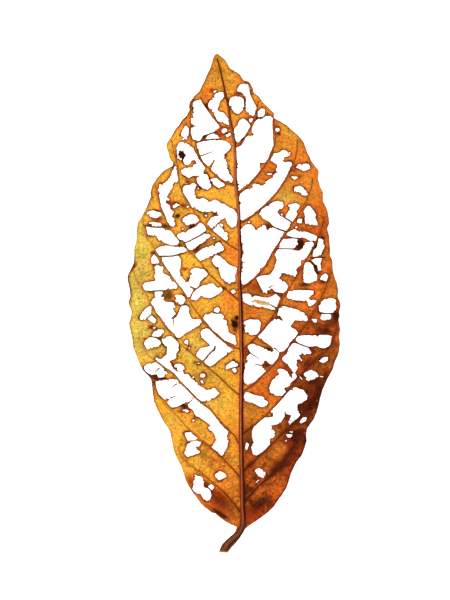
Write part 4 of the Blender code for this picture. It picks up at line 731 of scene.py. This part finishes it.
def ragged(outline, is_margin, draw):
    """Fine torn edge along a plain outline."""
    line = resampled(outline, EDGE_STEP, True)
    small = len(line) * EDGE_STEP < SMALL_HOLE_EDGE
    for _ in range(1 if small else 3):
        line = (np.roll(line, 1, axis=0) + 2.0 * line + np.roll(line, -1, axis=0)) / 4.0
    inward = inward_of(line)
    away, index = strips.find(line)
    cad_half = strip_cad_half[index]
    on_strip = unit((cad_half + STRIP_FADE - away) / STRIP_FADE)
    shift = on_strip * (cad_half - strip_true_half[index])
    free = (1.0 - RAGS_HELD * on_strip) * min(1.0, len(line) * EDGE_STEP / SMALL_HOLE_EDGE)
    if is_margin:
        shift = shift - MARGIN_GROWTH
    layers, rags = (margin_fields, MARGIN_RAGS) if is_margin else (hole_fields, HOLE_RAGS)
    for layer, reach in zip(layers, rags.values()):
        shift = shift + free * reach * layer.at(*line.T)
    if not is_margin and not small:
        add_teeth(line, shift, 1.0 - TEETH_HELD * on_strip, draw)
    return line + inward * shift[:, None]


def slit_outline(centre, length, width, turn):
    """Closed outline of a slit, running clockwise so that the material is on its left."""
    angles = -np.linspace(0.0, 2 * np.pi, SLIT_CORNERS, endpoint=False)
    along = np.array([math.cos(math.radians(turn)), math.sin(math.radians(turn))])
    across = np.array([-along[1], along[0]])
    return (np.array(centre) + np.outer(np.cos(angles) * length / 2, along)
            + np.outer(np.sin(angles) * width / 2, across))


def inner_points(edge, lines):
    """Points inside the outlines' box: a row just inside each edge, and an even spread between."""
    rim = np.vstack([line[::2] + inward_of(line)[::2] * RIM_STEP for line in lines])
    away, _ = edge.find(rim)
    rim = rim[away > RIM_CLEARANCE * RIM_STEP]
    low = edge.points.min(axis=0) - 1.0
    high = edge.points.max(axis=0) + 1.0
    rows = np.arange(low[1], high[1], INNER_STEP * math.sqrt(3) / 2)
    spread = []
    for k, y in enumerate(rows):
        x = np.arange(low[0], high[0], INNER_STEP) + (k % 2) * INNER_STEP / 2
        spread.append(np.column_stack([x, np.full(len(x), y)]))
    spread = np.vstack(spread)
    draw = np.random.default_rng(SPREAD_SEED)
    spread += draw.uniform(-INNER_JITTER, INNER_JITTER, spread.shape)
    away, _ = edge.find(spread)
    spread = spread[away > CLEAR_OF_EDGE]
    if len(rim):
        away, _ = Near(rim).find(spread)
        spread = spread[away > CLEAR_OF_RIM]
    return np.vstack([rim, spread])


def material_triangles(lines, extra):
    """Triangulate between closed lines; keep what lies an odd number of lines deep."""
    points = []
    edges = []
    for line in lines:
        first = len(points)
        points += [Vector(p) for p in line]
        edges += [(k, k + 1) for k in range(first, len(points) - 1)] + [(len(points) - 1, first)]
    points += [Vector(p) for p in extra]
    places, all_edges, faces, _, wall_ids, _ = delaunay_2d_cdt(
        points, edges, [], 0, MERGE_DISTANCE, True)
    walls = {tuple(sorted(e)) for e, own in zip(all_edges, wall_ids) if own}
    by_edge = {}
    for f, face in enumerate(faces):
        for k in range(3):
            by_edge.setdefault(tuple(sorted((face[k], face[(k + 1) % 3]))), []).append(f)
    depth = {}
    front = [fs[0] for e, fs in sorted(by_edge.items()) if len(fs) == 1 and e not in walls]
    for f in front:
        depth[f] = 0
    for f in front:
        face = faces[f]
        for k in range(3):
            key = tuple(sorted((face[k], face[(k + 1) % 3])))
            for other in by_edge[key]:
                if other not in depth:
                    depth[other] = depth[f] ^ (key in walls)
                    front.append(other)
    kept = [tuple(faces[f]) for f in range(len(faces)) if depth.get(f)]
    return np.array([tuple(p) for p in places]), largest_piece(without_pinches(faces, kept))


def fans_at(faces, corner):
    """How many separate fans of triangles meet at a corner."""
    groups = []
    for face in faces:
        others = {i for i in face if i != corner}
        for group in [g for g in groups if g & others]:
            others |= group
            groups.remove(group)
        groups.append(others)
    return len(groups)


def without_pinches(faces, kept):
    """Fill in round each corner where two parts of the sheet would touch at a point."""
    kept = set(kept)
    around = faces_by_corner(faces)
    edge_corners = {a for a, b in open_edges(kept)}
    changed = True
    while changed:
        changed = False
        for corner in sorted(edge_corners):
            present = [f for f in around[corner] if f in kept]
            if present and fans_at(present, corner) > 1:
                kept.update(around[corner])
                changed = True
    return kept


def faces_by_corner(faces):
    """The faces that meet at each corner."""
    around = {}
    for face in faces:
        for corner in face:
            around.setdefault(corner, []).append(tuple(face))
    return around


def largest_piece(kept):
    """The biggest connected set of triangles."""
    kept = sorted(kept)
    by_corner = faces_by_corner(kept)
    seen = set()
    best = []
    for first in kept:
        if first in seen:
            continue
        seen.add(first)
        piece = [first]
        for face in piece:
            for corner in face:
                for other in by_corner[corner]:
                    if other not in seen:
                        seen.add(other)
                        piece.append(other)
        best = max(best, piece, key=len)
    return np.array(best)


warps_x = [Field(71, 4.0), Field(73, 1.3)]
warps_y = [Field(72, 4.0), Field(74, 1.3)]
tones = fields(81, 9.0, 3.2, 1.1)
blotches = fields(84, 4.2, 1.9, 0.9)
hues = fields(87, 6.0, 2.4)


def leaf_tint(x, y):
    """Colour of the tissue at each place, linear."""
    tint = np.tile(srgb("orange"), (len(x), 1))
    warped = x + layered(warps_x, WARP_REACH, x, y), y + layered(warps_y, WARP_REACH, x, y)
    tint = with_zones(tint, *warped, REGIONS, 1.0)
    spoilt = decay(x, y)
    hue = layered(hues, (1.0, 0.6), x, y)
    redness = np.clip(0.5 + x / 20.0, 0.3, 1.2)
    tint = mixed(tint, "deep", 0.4 * redness * unit(hue))
    tint = mixed(tint, "ochre", 0.45 * (1.0 - spoilt) * unit(-hue))
    blotch = layered(blotches, (1.0, 0.8, 0.8), x, y)
    tint = mixed(tint, "rust", 0.55 * spoilt * unit((blotch + 0.6) / 0.6))
    tint = mixed(tint, "dark", 0.85 * spoilt * unit((blotch - 0.05) / 0.5))
    tint = with_zones(tint, x, y, STAINS, STAIN_GAIN)
    tone = layered(tones, TONE_WEIGHTS, x, y)
    return tint * (1.0 + tone[:, None])


def with_zones(tint, x, y, zones, gain):
    """Tints with the colours of a list of zones laid over them in turn."""
    for centre_x, centre_y, along, across, colour, strength, *turn in zones:
        share = zone_share(x, y, centre_x, centre_y, along, across, *turn)
        tint = mixed(tint, colour, gain * strength * share)
    return tint


def zone_share(x, y, centre_x, centre_y, along, across, turn=0):
    """How much of an oval zone reaches each place, 1 in its middle."""
    c, s = math.cos(math.radians(turn)), math.sin(math.radians(turn))
    u = ((x - centre_x) * c + (y - centre_y) * s) / along
    v = ((y - centre_y) * c - (x - centre_x) * s) / across
    return np.exp(-(u * u + v * v) ** ZONE_FALL)


def decay(x, y):
    """How blotched and specked the tissue is at each place, 0 to 1."""
    clean = np.full(len(x), 1.0)
    for centre_x, centre_y, along, across, strength, *turn in BLOTCHED:
        clean *= 1.0 - strength * zone_share(x, y, centre_x, centre_y, along, across, *turn)
    return 1.0 - clean


def mixed(tint, colour, share):
    """Tints moved towards a palette colour by a share for each place."""
    share = unit(share)[:, None]
    return tint * (1.0 - share) + srgb(colour) * share


def make_piece(name, vertices, faces, tint, material, sharp_angle):
    """Mesh object from millimetre vertices, with its colour, riding on the leaf's body."""
    mesh = bpy.data.meshes.new(name)
    mesh.from_pydata((np.asarray(vertices) * MM).tolist(), [], faces)
    layer = mesh.color_attributes.new("tint", "FLOAT_COLOR", "POINT")
    specks = decay(*np.asarray(vertices)[:, :2].T)
    layer.data.foreach_set("color", np.column_stack([tint, specks]).ravel())
    mesh.materials.append(material)
    mesh.shade_smooth()
    mesh.set_sharp_from_angle(angle=math.radians(sharp_angle))
    piece = bpy.data.objects.new(name, mesh)
    bpy.context.scene.collection.objects.link(piece)
    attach(piece, "root")
    return piece


def tubes(paths, sides):
    """Vertices and faces of round capped tubes; each path is an array of x, y, z and radius."""
    vertices = []
    faces = []
    count = 0
    angles = 2 * np.pi * np.arange(sides) / sides
    for path in paths:
        along = np.gradient(path[:, :3], axis=0)
        along /= np.linalg.norm(along, axis=1)[:, None]
        side = np.cross(along, UP)
        side /= np.linalg.norm(side, axis=1)[:, None]
        up = np.cross(side, along)
        ring = side[:, None] * np.cos(angles)[None, :, None] + up[:, None] * np.sin(angles)[None, :, None]
        vertices.append((path[:, None, :3] + ring * path[:, 3][:, None, None]).reshape(-1, 3))
        faces += tube_faces(count, len(path), sides)
        count += len(path) * sides
    return np.vstack(vertices), faces


def tube_faces(first, rings, sides):
    """Quads between rings and a cap at each end."""
    faces = [list(range(first, first + sides))]
    for i in range(rings - 1):
        row = first + i * sides
        for k in range(sides):
            after = (k + 1) % sides
            faces.append([row + k, row + sides + k, row + sides + after, row + after])
    last = first + (rings - 1) * sides
    faces.append(list(range(last + sides - 1, last - 1, -1)))
    return faces


def node(tree, kind, inputs=None, **settings):
    """Shader node with its settings, its values and its links."""
    made = tree.nodes.new(kind)
    for key, value in settings.items():
        setattr(made, key, value)
    for key, value in (inputs or {}).items():
        if isinstance(value, bpy.types.NodeSocket):
            tree.links.new(value, made.inputs[key])
        else:
            made.inputs[key].default_value = value
    return made


def ranged(tree, value, low, high, to_low=0.0, to_high=1.0):
    """Value mapped from one range to another, clamped."""
    made = node(tree, "ShaderNodeMapRange", {0: value, 1: low, 2: high, 3: to_low, 4: to_high})
    return made.outputs[0]


def maths(tree, operation, a, b):
    """Result of one arithmetic step."""
    return node(tree, "ShaderNodeMath", {0: a, 1: b}, operation=operation).outputs[0]


def blended(tree, share, a, b, mode="MIX"):
    """Colour b laid over colour a."""
    made = node(tree, "ShaderNodeMix", {0: share, 6: a, 7: b}, data_type="RGBA", blend_type=mode)
    return made.outputs[2]


def noise(tree, place, scale, detail, roughness):
    """Value of a noise texture, about 0.2 to 0.8."""
    made = node(tree, "ShaderNodeTexNoise",
                {"Vector": place, "Scale": scale, "Detail": detail, "Roughness": roughness})
    return made.outputs[0]


def dots(tree, place, scale, size, channel, threshold):
    """Round dots in those cells whose random number is over a threshold."""
    cells = node(tree, "ShaderNodeTexVoronoi", {"Vector": place, "Scale": scale})
    chosen = node(tree, "ShaderNodeSeparateColor", {0: cells.outputs["Color"]}).outputs[channel]
    dot = ranged(tree, cells.outputs["Distance"], *size, 1.0, 0.0)
    return maths(tree, "MULTIPLY", dot, maths(tree, "GREATER_THAN", chosen, threshold))


def leaf_material(name, surface):
    """Material from a function that gives its colour, roughness, and height with bump strength."""
    material = bpy.data.materials.new(name)
    material.use_nodes = True
    tree = material.node_tree
    shader = tree.nodes["Principled BSDF"]
    place = node(tree, "ShaderNodeTexCoord").outputs["Object"]
    painted = node(tree, "ShaderNodeAttribute", attribute_name="tint")
    tint, spoilt = painted.outputs["Color"], painted.outputs["Alpha"]
    colour, gloss, height, strength = surface(tree, place, tint, spoilt)
    bump = node(tree, "ShaderNodeBump", {"Height": height, "Strength": strength, "Distance": BUMP_HEIGHT})
    tree.links.new(colour, shader.inputs["Base Color"])
    tree.links.new(gloss, shader.inputs["Roughness"])
    tree.links.new(bump.outputs[0], shader.inputs["Normal"])
    shader.inputs["Specular IOR Level"].default_value = SPECULAR
    return material


def tissue_surface(tree, place, tint, spoilt):
    """Dried leaf tissue: mottled, dotted with dark and pale specks and finely netted."""
    mottle = noise(tree, place, MOTTLE_SCALE, 4.0, 0.6)
    cloud = noise(tree, place, CLOUD_SCALE, 4.0, 0.6)
    fleck = noise(tree, place, FLECK_SCALE, 2.0, 0.5)
    bright = maths(tree, "MULTIPLY", ranged(tree, mottle, 0.32, 0.68, 0.62, 1.3),
                   ranged(tree, cloud, 0.35, 0.65, 0.84, 1.14))
    colour = blended(tree, 1.0, tint, bright, "MULTIPLY")
    strong = ranged(tree, spoilt, 0.2, 0.9, 0.6, 0.9)
    spotted = maths(tree, "MULTIPLY", ranged(tree, fleck, 0.54, 0.66), strong)
    spot = blended(tree, spoilt, OLIVE_SPOT, RED_SPOT)
    colour = blended(tree, spotted, colour, spot, "MULTIPLY")
    reddened = maths(tree, "MULTIPLY", ranged(tree, cloud, 0.5, 0.68), 0.5)
    colour = blended(tree, reddened, colour, RED_STAIN, "MULTIPLY")
    for scale, size in DARK_SPECKS:
        needed = ranged(tree, spoilt, 0.0, 1.0, 0.8, 0.45)
        dot = dots(tree, place, scale, (0.4 * size, size), 0, needed)
        colour = blended(tree, maths(tree, "MULTIPLY", dot, 0.75), colour, DARK_SPECK)
    dot = dots(tree, place, PALE_SPECK_SCALE, (0.06, 0.17), 1, 0.8)
    dot = maths(tree, "MULTIPLY", dot, ranged(tree, spoilt, 0.3, 0.9, 0.0, 0.7))
    colour = blended(tree, dot, colour, PALE_SPECK)
    web = node(tree, "ShaderNodeTexVoronoi", {"Vector": place, "Scale": WEB_SCALE},
               feature="DISTANCE_TO_EDGE").outputs["Distance"]
    line = ranged(tree, web, 0.0, 0.09, 1.0, 0.0)
    colour = blended(tree, maths(tree, "MULTIPLY", line, 0.22), colour, NET_BROWN)
    height = maths(tree, "ADD", maths(tree, "MULTIPLY", line, 0.6), mottle)
    return colour, ranged(tree, mottle, 0.3, 0.7, 0.54, 0.72), height, 0.5


def streaked_surface(tree, place, tint, _):
    """Woody strand: fine streaks along the leaf."""
    stretch = {"Vector": place, "Scale": (1.0, STREAK_STRETCH, 1.0)}
    stretched = node(tree, "ShaderNodeMapping", stretch).outputs[0]
    streak = noise(tree, stretched, STREAK_SCALE, 4.0, 0.6)
    grain = noise(tree, place, GRAIN_SCALE, 4.0, 0.5)
    bright = maths(tree, "MULTIPLY", ranged(tree, streak, 0.3, 0.7, 0.7, 1.25),
                   ranged(tree, grain, 0.3, 0.7, 0.82, 1.14))
    colour = blended(tree, 1.0, tint, bright, "MULTIPLY")
    return colour, ranged(tree, grain, 0.3, 0.7, 0.5, 0.68), streak, 0.55


tissue = leaf_material("leaf_tissue", tissue_surface)
woody = leaf_material("leaf_vein", streaked_surface)


def sheet_piece(name, lines, extra, hole_edge, sag_from, coat=None):
    """Closed thin sheet between outlines, with an extra palette colour over it if one is given."""
    plan, triangles = material_triangles(lines, extra)
    used, packed = np.unique(triangles.ravel(), return_inverse=True)
    plan = plan[used]
    triangles = packed.reshape(-1, 3)
    x, y = plan.T
    vein_away, _ = main_veins.find(plan)
    edge_away, _ = hole_edge.find(plan)
    base = blade_underside(x, y, vein_away)
    share = unit(base / FULL_RELIEF_HEIGHT)
    net_away, _ = sag_from.find(plan)
    base = base - share * NET_SAG * (1.0 - fading(net_away, NET_SAG_REACH))
    base = base + share * EDGE_CURL * fading(edge_away, EDGE_CURL_REACH, 1) * curl.at(x, y)
    base = np.maximum(0.0, base)
    under = np.column_stack([x, y, base])
    over = under + UP * BLADE_THICKNESS
    count = len(plan)
    faces = triangles.tolist() + (triangles[:, ::-1] + count).tolist()
    faces += [[b, a, a + count, b + count] for a, b in open_edges(triangles.tolist())]
    tint = edge_tint(plan, vein_away, edge_away)
    if coat:
        tint = mixed(tint, coat, 0.8 + 0.2 * rim_blotch.at(x, y))
    # The lower face takes the same tint painted darker, as shade.
    tint = np.vstack([tint, tint * UNDERSIDE_SHADE])
    return make_piece(name, np.vstack([over, under]), faces, tint, tissue, SHEET_SHARP)


def edge_tint(plan, vein_away, edge_away):
    """Tissue tint with its darker rims along the veins, the holes and the margin."""
    inside = leaf_tint(*plan.T)
    blotch = rim_blotch.at(*plan.T)
    spoilt = decay(*plan.T)
    tint = mixed(inside, "rust", 0.3 * fading(vein_away, 0.45))
    tint = mixed(tint, "dark", 0.85 * spoilt * fading(vein_away, 0.75 + 0.35 * blotch))
    tint = mixed(tint, "deep", 0.45 * fading(edge_away, 0.9))
    tint = mixed(tint, "rust", 0.55 * fading(edge_away, 0.5))
    tint = mixed(tint, "brown", 0.9 * fading(edge_away, 0.35 + 0.2 * blotch, 4))
    dead = unit((blotch - 0.3) / 0.3) + 0.4 * spoilt
    tint = mixed(tint, "dark", 0.9 * dead * fading(edge_away, 0.6, 3))
    margin_away, _ = margin_points.find(plan)
    stain = 0.5 + 0.55 * margin_stain.at(*plan.T) + 0.4 * spoilt
    tint = mixed(tint, "rust", 0.5 * stain * fading(margin_away, 0.9))
    tint = mixed(tint, "brown", stain * fading(margin_away, 0.42, 3))
    return np.minimum(tint, inside)


curl, rim_blotch, knots, margin_stain = fields(91, 2.6, 1.6, 1.4, 7.0)

outlines = sorted(cad_outlines(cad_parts["leaf"]), key=len, reverse=True)
margin_index = int(np.argmax([np.ptp(o[:, 1]) for o in outlines]))
rag_draw = np.random.default_rng(RAG_SEED)
edge_lines = [ragged(o, k == margin_index, rag_draw) for k, o in enumerate(outlines)]
hole_lines = [line for k, line in enumerate(edge_lines) if k != margin_index]
slit_lines = [slit_outline(*slit) for slit in SLITS]
all_lines = edge_lines + slit_lines
edge_points = Near(np.vstack(all_lines))
hole_points = Near(np.vstack(hole_lines + slit_lines))
margin_points = Near(edge_lines[margin_index])

# Which places hold tissue, from the finished outlines.
coarse_plan, coarse_triangles = material_triangles(all_lines, np.empty((0, 2)))
tissue_test = BVHTree.FromPolygons(
    [(x, y, 0.0) for x, y in coarse_plan], [tuple(int(i) for i in t) for t in coarse_triangles])


def holds_tissue(x, y):
    """Whether the blade is there."""
    return tissue_test.ray_cast(Vector((x, y, 1.0)), Vector((0.0, 0.0, -1.0)))[0] is not None


def rung_lines(veins, draw):
    """Bowed cross lines from each side vein, square to it, up to the next vein or the midrib."""
    lines = []
    for upper, lower in zip(veins, veins[1:]):
        targets = np.vstack([upper, midrib_line[:, :2]])
        starts = resampled(lower, RUNG_SPACING, False)
        runs = np.gradient(starts, axis=0)
        for start, run in zip(starts[1:], runs[1:]):
            square = np.array([-run[1], run[0]]) / np.hypot(*run)
            square *= np.sign(square[1])
            start = start + run / np.hypot(*run) * draw.uniform(-RUNG_SHIFT, RUNG_SHIFT)
            aims = targets - start
            lengths = np.hypot(*aims.T)
            ahead = (aims @ square > RUNG_CONE * lengths) & (lengths > 1.0)
            if not ahead.any():
                continue
            nearest = np.argmin(np.where(ahead, lengths, np.inf))
            across = aims[nearest] + draw.uniform(-RUNG_AIM, RUNG_AIM, 2)
            length = np.hypot(*across)
            t = np.linspace(0.0, 1.0, max(4, round(length / RUNG_STEP)))
            side = np.array([-across[1], across[0]]) / length
            bow = draw.uniform(-RUNG_BOW, RUNG_BOW) * np.sin(np.pi * t)
            wander = draw.uniform(-RUNG_WANDER, RUNG_WANDER) * np.sin(3 * np.pi * t)
            lines.append(start + np.outer(t, across) + np.outer(bow + wander, side))
    return lines


def torn_runs(line, draw):
    """Parts of a cross line that are on tissue, each ending in a stub that stands into the hole."""
    present = [holds_tissue(x, y) for x, y in line]
    runs = []
    first = None
    for i, here in enumerate(present + [False]):
        if here and first is None:
            first = i
        if not here and first is not None:
            before = max(0, first - int(draw.uniform(*STUB_REACH) / RUNG_STEP + 0.5))
            after = min(len(line), i + int(draw.uniform(*STUB_REACH) / RUNG_STEP + 0.5))
            if after - before >= 3:
                runs.append(line[before:after])
            first = None
    return runs


def laid(line, radius, sink):
    """Path of a vein that lies on the blade: its height follows the blade's upper face."""
    x, y = line[:, 0], line[:, 1]
    vein_away, _ = main_veins.find(line[:, :2])
    height = blade_underside(x, y, vein_away) + BLADE_THICKNESS - sink * radius
    return np.column_stack([x, y, np.maximum(height, radius), radius])


net_draw = np.random.default_rng(NET_SEED)
rungs = rung_lines(side_veins[:len(SIDE_VEINS_LEFT)], net_draw)
rungs += rung_lines(side_veins[len(SIDE_VEINS_LEFT):], net_draw)
rung_runs = [run for line in rungs for run in torn_runs(line, net_draw)]
net_samples = Near(np.vstack(rung_runs))

blade = sheet_piece("leaf_blade", all_lines, inner_points(edge_points, all_lines), hole_points, net_samples)
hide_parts("leaf")

vein_paths = []
for vein in side_veins:
    radius = tapering(vein, VEIN_RADIUS) * (1.0 + VEIN_KNOTS * knots.at(*vein.T))
    vein_paths.append(laid(vein, radius, VEIN_SINK))
vertices, faces = tubes(vein_paths, VEIN_SIDES)
x, y = vertices[:, :2].T
strength = np.concatenate([np.repeat(tapering(path, (1.0, 0.35)), VEIN_SIDES) for path in vein_paths])
strength = np.where(x > MIDDLE_X, 0.4 + 0.6 * strength, strength)
strength = np.maximum(strength, 0.85 * unit((y - 15.0) / 20.0))
tint = leaf_tint(x, y) * (1.0 - 0.4 * strength[:, None])
tint = mixed(tint, "rust", 0.5 * strength)
tint = mixed(tint, "brown", 0.6 * strength)
tint = mixed(tint, "maroon", 0.8 * strength * decay(x, y))
make_piece("leaf_side_veins", vertices, faces, tint, woody, TUBE_SHARP)

strand_paths = []
for strand in strands:
    radius = np.full(len(strand), STRAND_RADIUS) * (1.0 + STRAND_KNOTS * knots.at(*strand.T))
    strand_paths.append(laid(strand, radius, STRAND_SINK))
for thread in threads:
    strand_paths.append(laid(thread, tapering(thread, THREAD_RADIUS), STRAND_SINK))
vertices, faces = tubes(strand_paths, STRAND_SIDES)
x, y = vertices[:, :2].T
tint = mixed(0.4 * leaf_tint(x, y), "dark", np.full(len(x), 0.75))
tint = with_zones(tint, x, y, PALE_STRANDS, 1.0)
make_piece("leaf_strands", vertices, faces, tint, woody, TUBE_SHARP)

rung_paths = []
for run in rung_runs:
    ends = np.minimum(np.arange(len(run)), np.arange(len(run))[::-1]) / 2.0
    rung_paths.append(laid(run, RUNG_RADIUS * unit(0.35 + 0.65 * ends), RUNG_SINK))
vertices, faces = tubes(rung_paths, RUNG_SIDES)
tint = mixed(0.8 * leaf_tint(*vertices[:, :2].T), "brown", np.full(len(vertices), 0.3))
make_piece("leaf_net", vertices, faces, tint, woody, TUBE_SHARP)


def midrib_piece():
    """Midrib and stalk as one grooved strand with a ragged, paler cut end."""
    x, y, half = midrib_line.T
    plan = midrib_line[:, :2]
    along = np.gradient(plan, axis=0)
    along /= np.hypot(*along.T)[:, None]
    side = np.column_stack([along[:, 1], -along[:, 0]])
    size = half / STALK_HALF
    base = blade_underside(x, y, np.zeros(len(x))) + BLADE_THICKNESS / 2
    below = np.where(y < BASE_Y, STALK_RISE_UNDER, MIDRIB_RISE_UNDER) * size
    window = 2 * RISE_SMOOTHING + 1
    below = np.convolve(np.pad(below, RISE_SMOOTHING, mode="edge"), np.ones(window) / window, mode="valid")
    below = np.minimum(below + BLADE_THICKNESS / 2, base)
    above = MIDRIB_RISE * size + BLADE_THICKNESS / 2
    twist = 0.6 * knots.at(x * 0.2, y * 0.25)
    angles = 2 * np.pi * np.arange(MIDRIB_SIDES) / MIDRIB_SIDES
    vertices = []
    for k in range(len(x)):
        groove = 1.0 + 0.045 * np.sin(7 * angles + 4 * twist[k]) + 0.03 * np.sin(12 * angles - 3 * twist[k])
        across = half[k] * np.cos(angles) * groove
        height = np.where(np.sin(angles) > 0, above[k], below[k]) * np.sin(angles) * groove
        ring = plan[k] + np.outer(across, side[k])
        if k >= len(x) - CUT_RINGS:
            cut = (STALK_CUT_Y - ring[:, 1]) / along[k][1] - (len(x) - 1 - k) * MIDRIB_STEP
            ring = ring + np.outer(cut * (k - len(x) + CUT_RINGS + 1) / CUT_RINGS, along[k])
        vertices.append(np.column_stack([ring, base[k] + height]))
    vertices = np.vstack(vertices)
    vertices[:, 2] = np.maximum(vertices[:, 2], 0.0)
    faces = tube_faces(0, len(x), MIDRIB_SIDES)
    lateral = -np.tile(np.cos(angles), len(x))
    from_tip = np.repeat(np.linspace(0.0, 1.0, len(x)), MIDRIB_SIDES)
    tint = midrib_tint(*vertices[:, :2].T, lateral, from_tip)
    tint[-MIDRIB_SIDES:] = srgb("tan")
    make_piece("leaf_midrib", vertices, faces, tint, woody, MIDRIB_SHARP)


def midrib_tint(x, y, lateral, from_tip):
    """Across the strand: brown on the left, a rosy streak in the middle painted as a highlight, and the
    right side painted dark as shade; the stalk's sides are painted darker as shade too.
    """
    lateral = lateral + 0.2 * knots.at(x * 3, y * 0.4)
    tint = np.tile(srgb("rust"), (len(x), 1))
    tint = mixed(tint, "brown", 0.45 + 0.4 * unit(1.3 - 4.0 * from_tip))
    upper = unit(1.6 - 3.0 * from_tip) * unit(8.0 * from_tip - 0.6)
    tint = mixed(tint, "rose", 0.4 * upper)
    # Painted highlight: a rosy streak just left of the middle, where light from the left would catch the
    # round midrib.
    rose = unit(from_tip * 1.8 - 0.2) * fading(lateral + 0.12, 0.2)
    tint = mixed(tint, "rose", rose * (0.8 + 0.3 * knots.at(x, y * 0.5)))
    # Painted shade: the right side of the round midrib darkened to maroon, as if lit from the left.
    painted_shade_side = unit((lateral - 0.02 - 0.35 * upper) / 0.25)
    tint = mixed(tint, "maroon", painted_shade_side * np.clip(6.0 * from_tip, 0.3, 1.0))
    tint = mixed(tint, "brown", 0.4 * unit((-30.0 - y) / 20.0))
    on_stalk = unit((STALK_START_Y - y) / 3.0)
    tint = mixed(tint, "umber", 0.7 * on_stalk)
    # Painted shade: the stalk darkened along both of its rounded sides.
    return mixed(tint, "dark", 0.7 * on_stalk * unit((np.abs(lateral) - 0.3) / 0.4))


midrib_piece()

scrap_draw = np.random.default_rng(SCRAP_SEED)
for number, (coat, outline) in enumerate(SCRAPS):
    scrap = ragged(np.array(outline)[::-1], True, scrap_draw)
    inner = inner_points(Near(scrap), [scrap])
    sheet_piece(f"leaf_scrap_{number + 1}", [scrap], inner, hole_points, net_samples, coat)

# Pale floor, lit a little from within so that the shadows under the arched leaf stay faint.
FLOOR_HALF = 0.9
FLOOR_TONE = 0.86
FLOOR_GLOW = 0.8
WORLD_STRENGTH = 0.55
floor_mesh = bpy.data.meshes.new("floor")
floor_mesh.from_pydata(
    [(-FLOOR_HALF, -FLOOR_HALF, 0.0), (FLOOR_HALF, -FLOOR_HALF, 0.0), (FLOOR_HALF, FLOOR_HALF, 0.0),
     (-FLOOR_HALF, FLOOR_HALF, 0.0)], [], [(0, 1, 2, 3)])
floor = bpy.data.objects.new("floor", floor_mesh)
bpy.context.scene.collection.objects.link(floor)
floor_material = bpy.data.materials.new("floor")
floor_material.use_nodes = True
floor_shader = floor_material.node_tree.nodes["Principled BSDF"]
floor_shader.inputs["Base Color"].default_value = (FLOOR_TONE, FLOOR_TONE, FLOOR_TONE, 1.0)
floor_shader.inputs["Roughness"].default_value = 0.9
floor_shader.inputs["Emission Color"].default_value = (1.0, 1.0, 1.0, 1.0)
floor_shader.inputs["Emission Strength"].default_value = FLOOR_GLOW
floor_mesh.materials.append(floor_material)


def softbox(name, place, size, power):
    """Square area light aimed at the leaf."""
    light = bpy.data.lights.new(name, "AREA")
    light.size = size
    light.energy = power
    lamp = bpy.data.objects.new(name, light)
    lamp.location = place
    lamp.rotation_euler = (-Vector(place)).to_track_quat("-Z", "Y").to_euler()
    bpy.context.scene.collection.objects.link(lamp)


softbox("key", (-0.7, 0.35, 0.75), 0.5, 9.0)
softbox("fill", (0.7, -0.3, 0.9), 0.8, 3.0)

world = bpy.data.worlds.new("studio")
world.use_nodes = True
world.node_tree.nodes["Background"].inputs[0].default_value = (1.0, 1.0, 1.0, 1.0)
world.node_tree.nodes["Background"].inputs[1].default_value = WORLD_STRENGTH
bpy.context.scene.world = world
bpy.context.scene.view_settings.view_transform = "Standard"

# Straight down, tip up, framed as in the photograph: 180 mm over the frame's height.
FRAME_HEIGHT = 0.18
CAMERA_DISTANCE = 1.5
FRAME_CENTRE = (-2.7, 0.9, 5.0)
SENSOR = 36.0
camera_data = bpy.data.cameras.new("camera")
camera_data.sensor_fit = "VERTICAL"
camera_data.sensor_height = SENSOR
camera_data.lens = SENSOR * CAMERA_DISTANCE / FRAME_HEIGHT
camera = bpy.data.objects.new("camera", camera_data)
camera.location = (
    FRAME_CENTRE[0] * MM, FRAME_CENTRE[1] * MM, CAMERA_DISTANCE + FRAME_CENTRE[2] * MM)
bpy.context.scene.collection.objects.link(camera)
bpy.context.scene.camera = camera
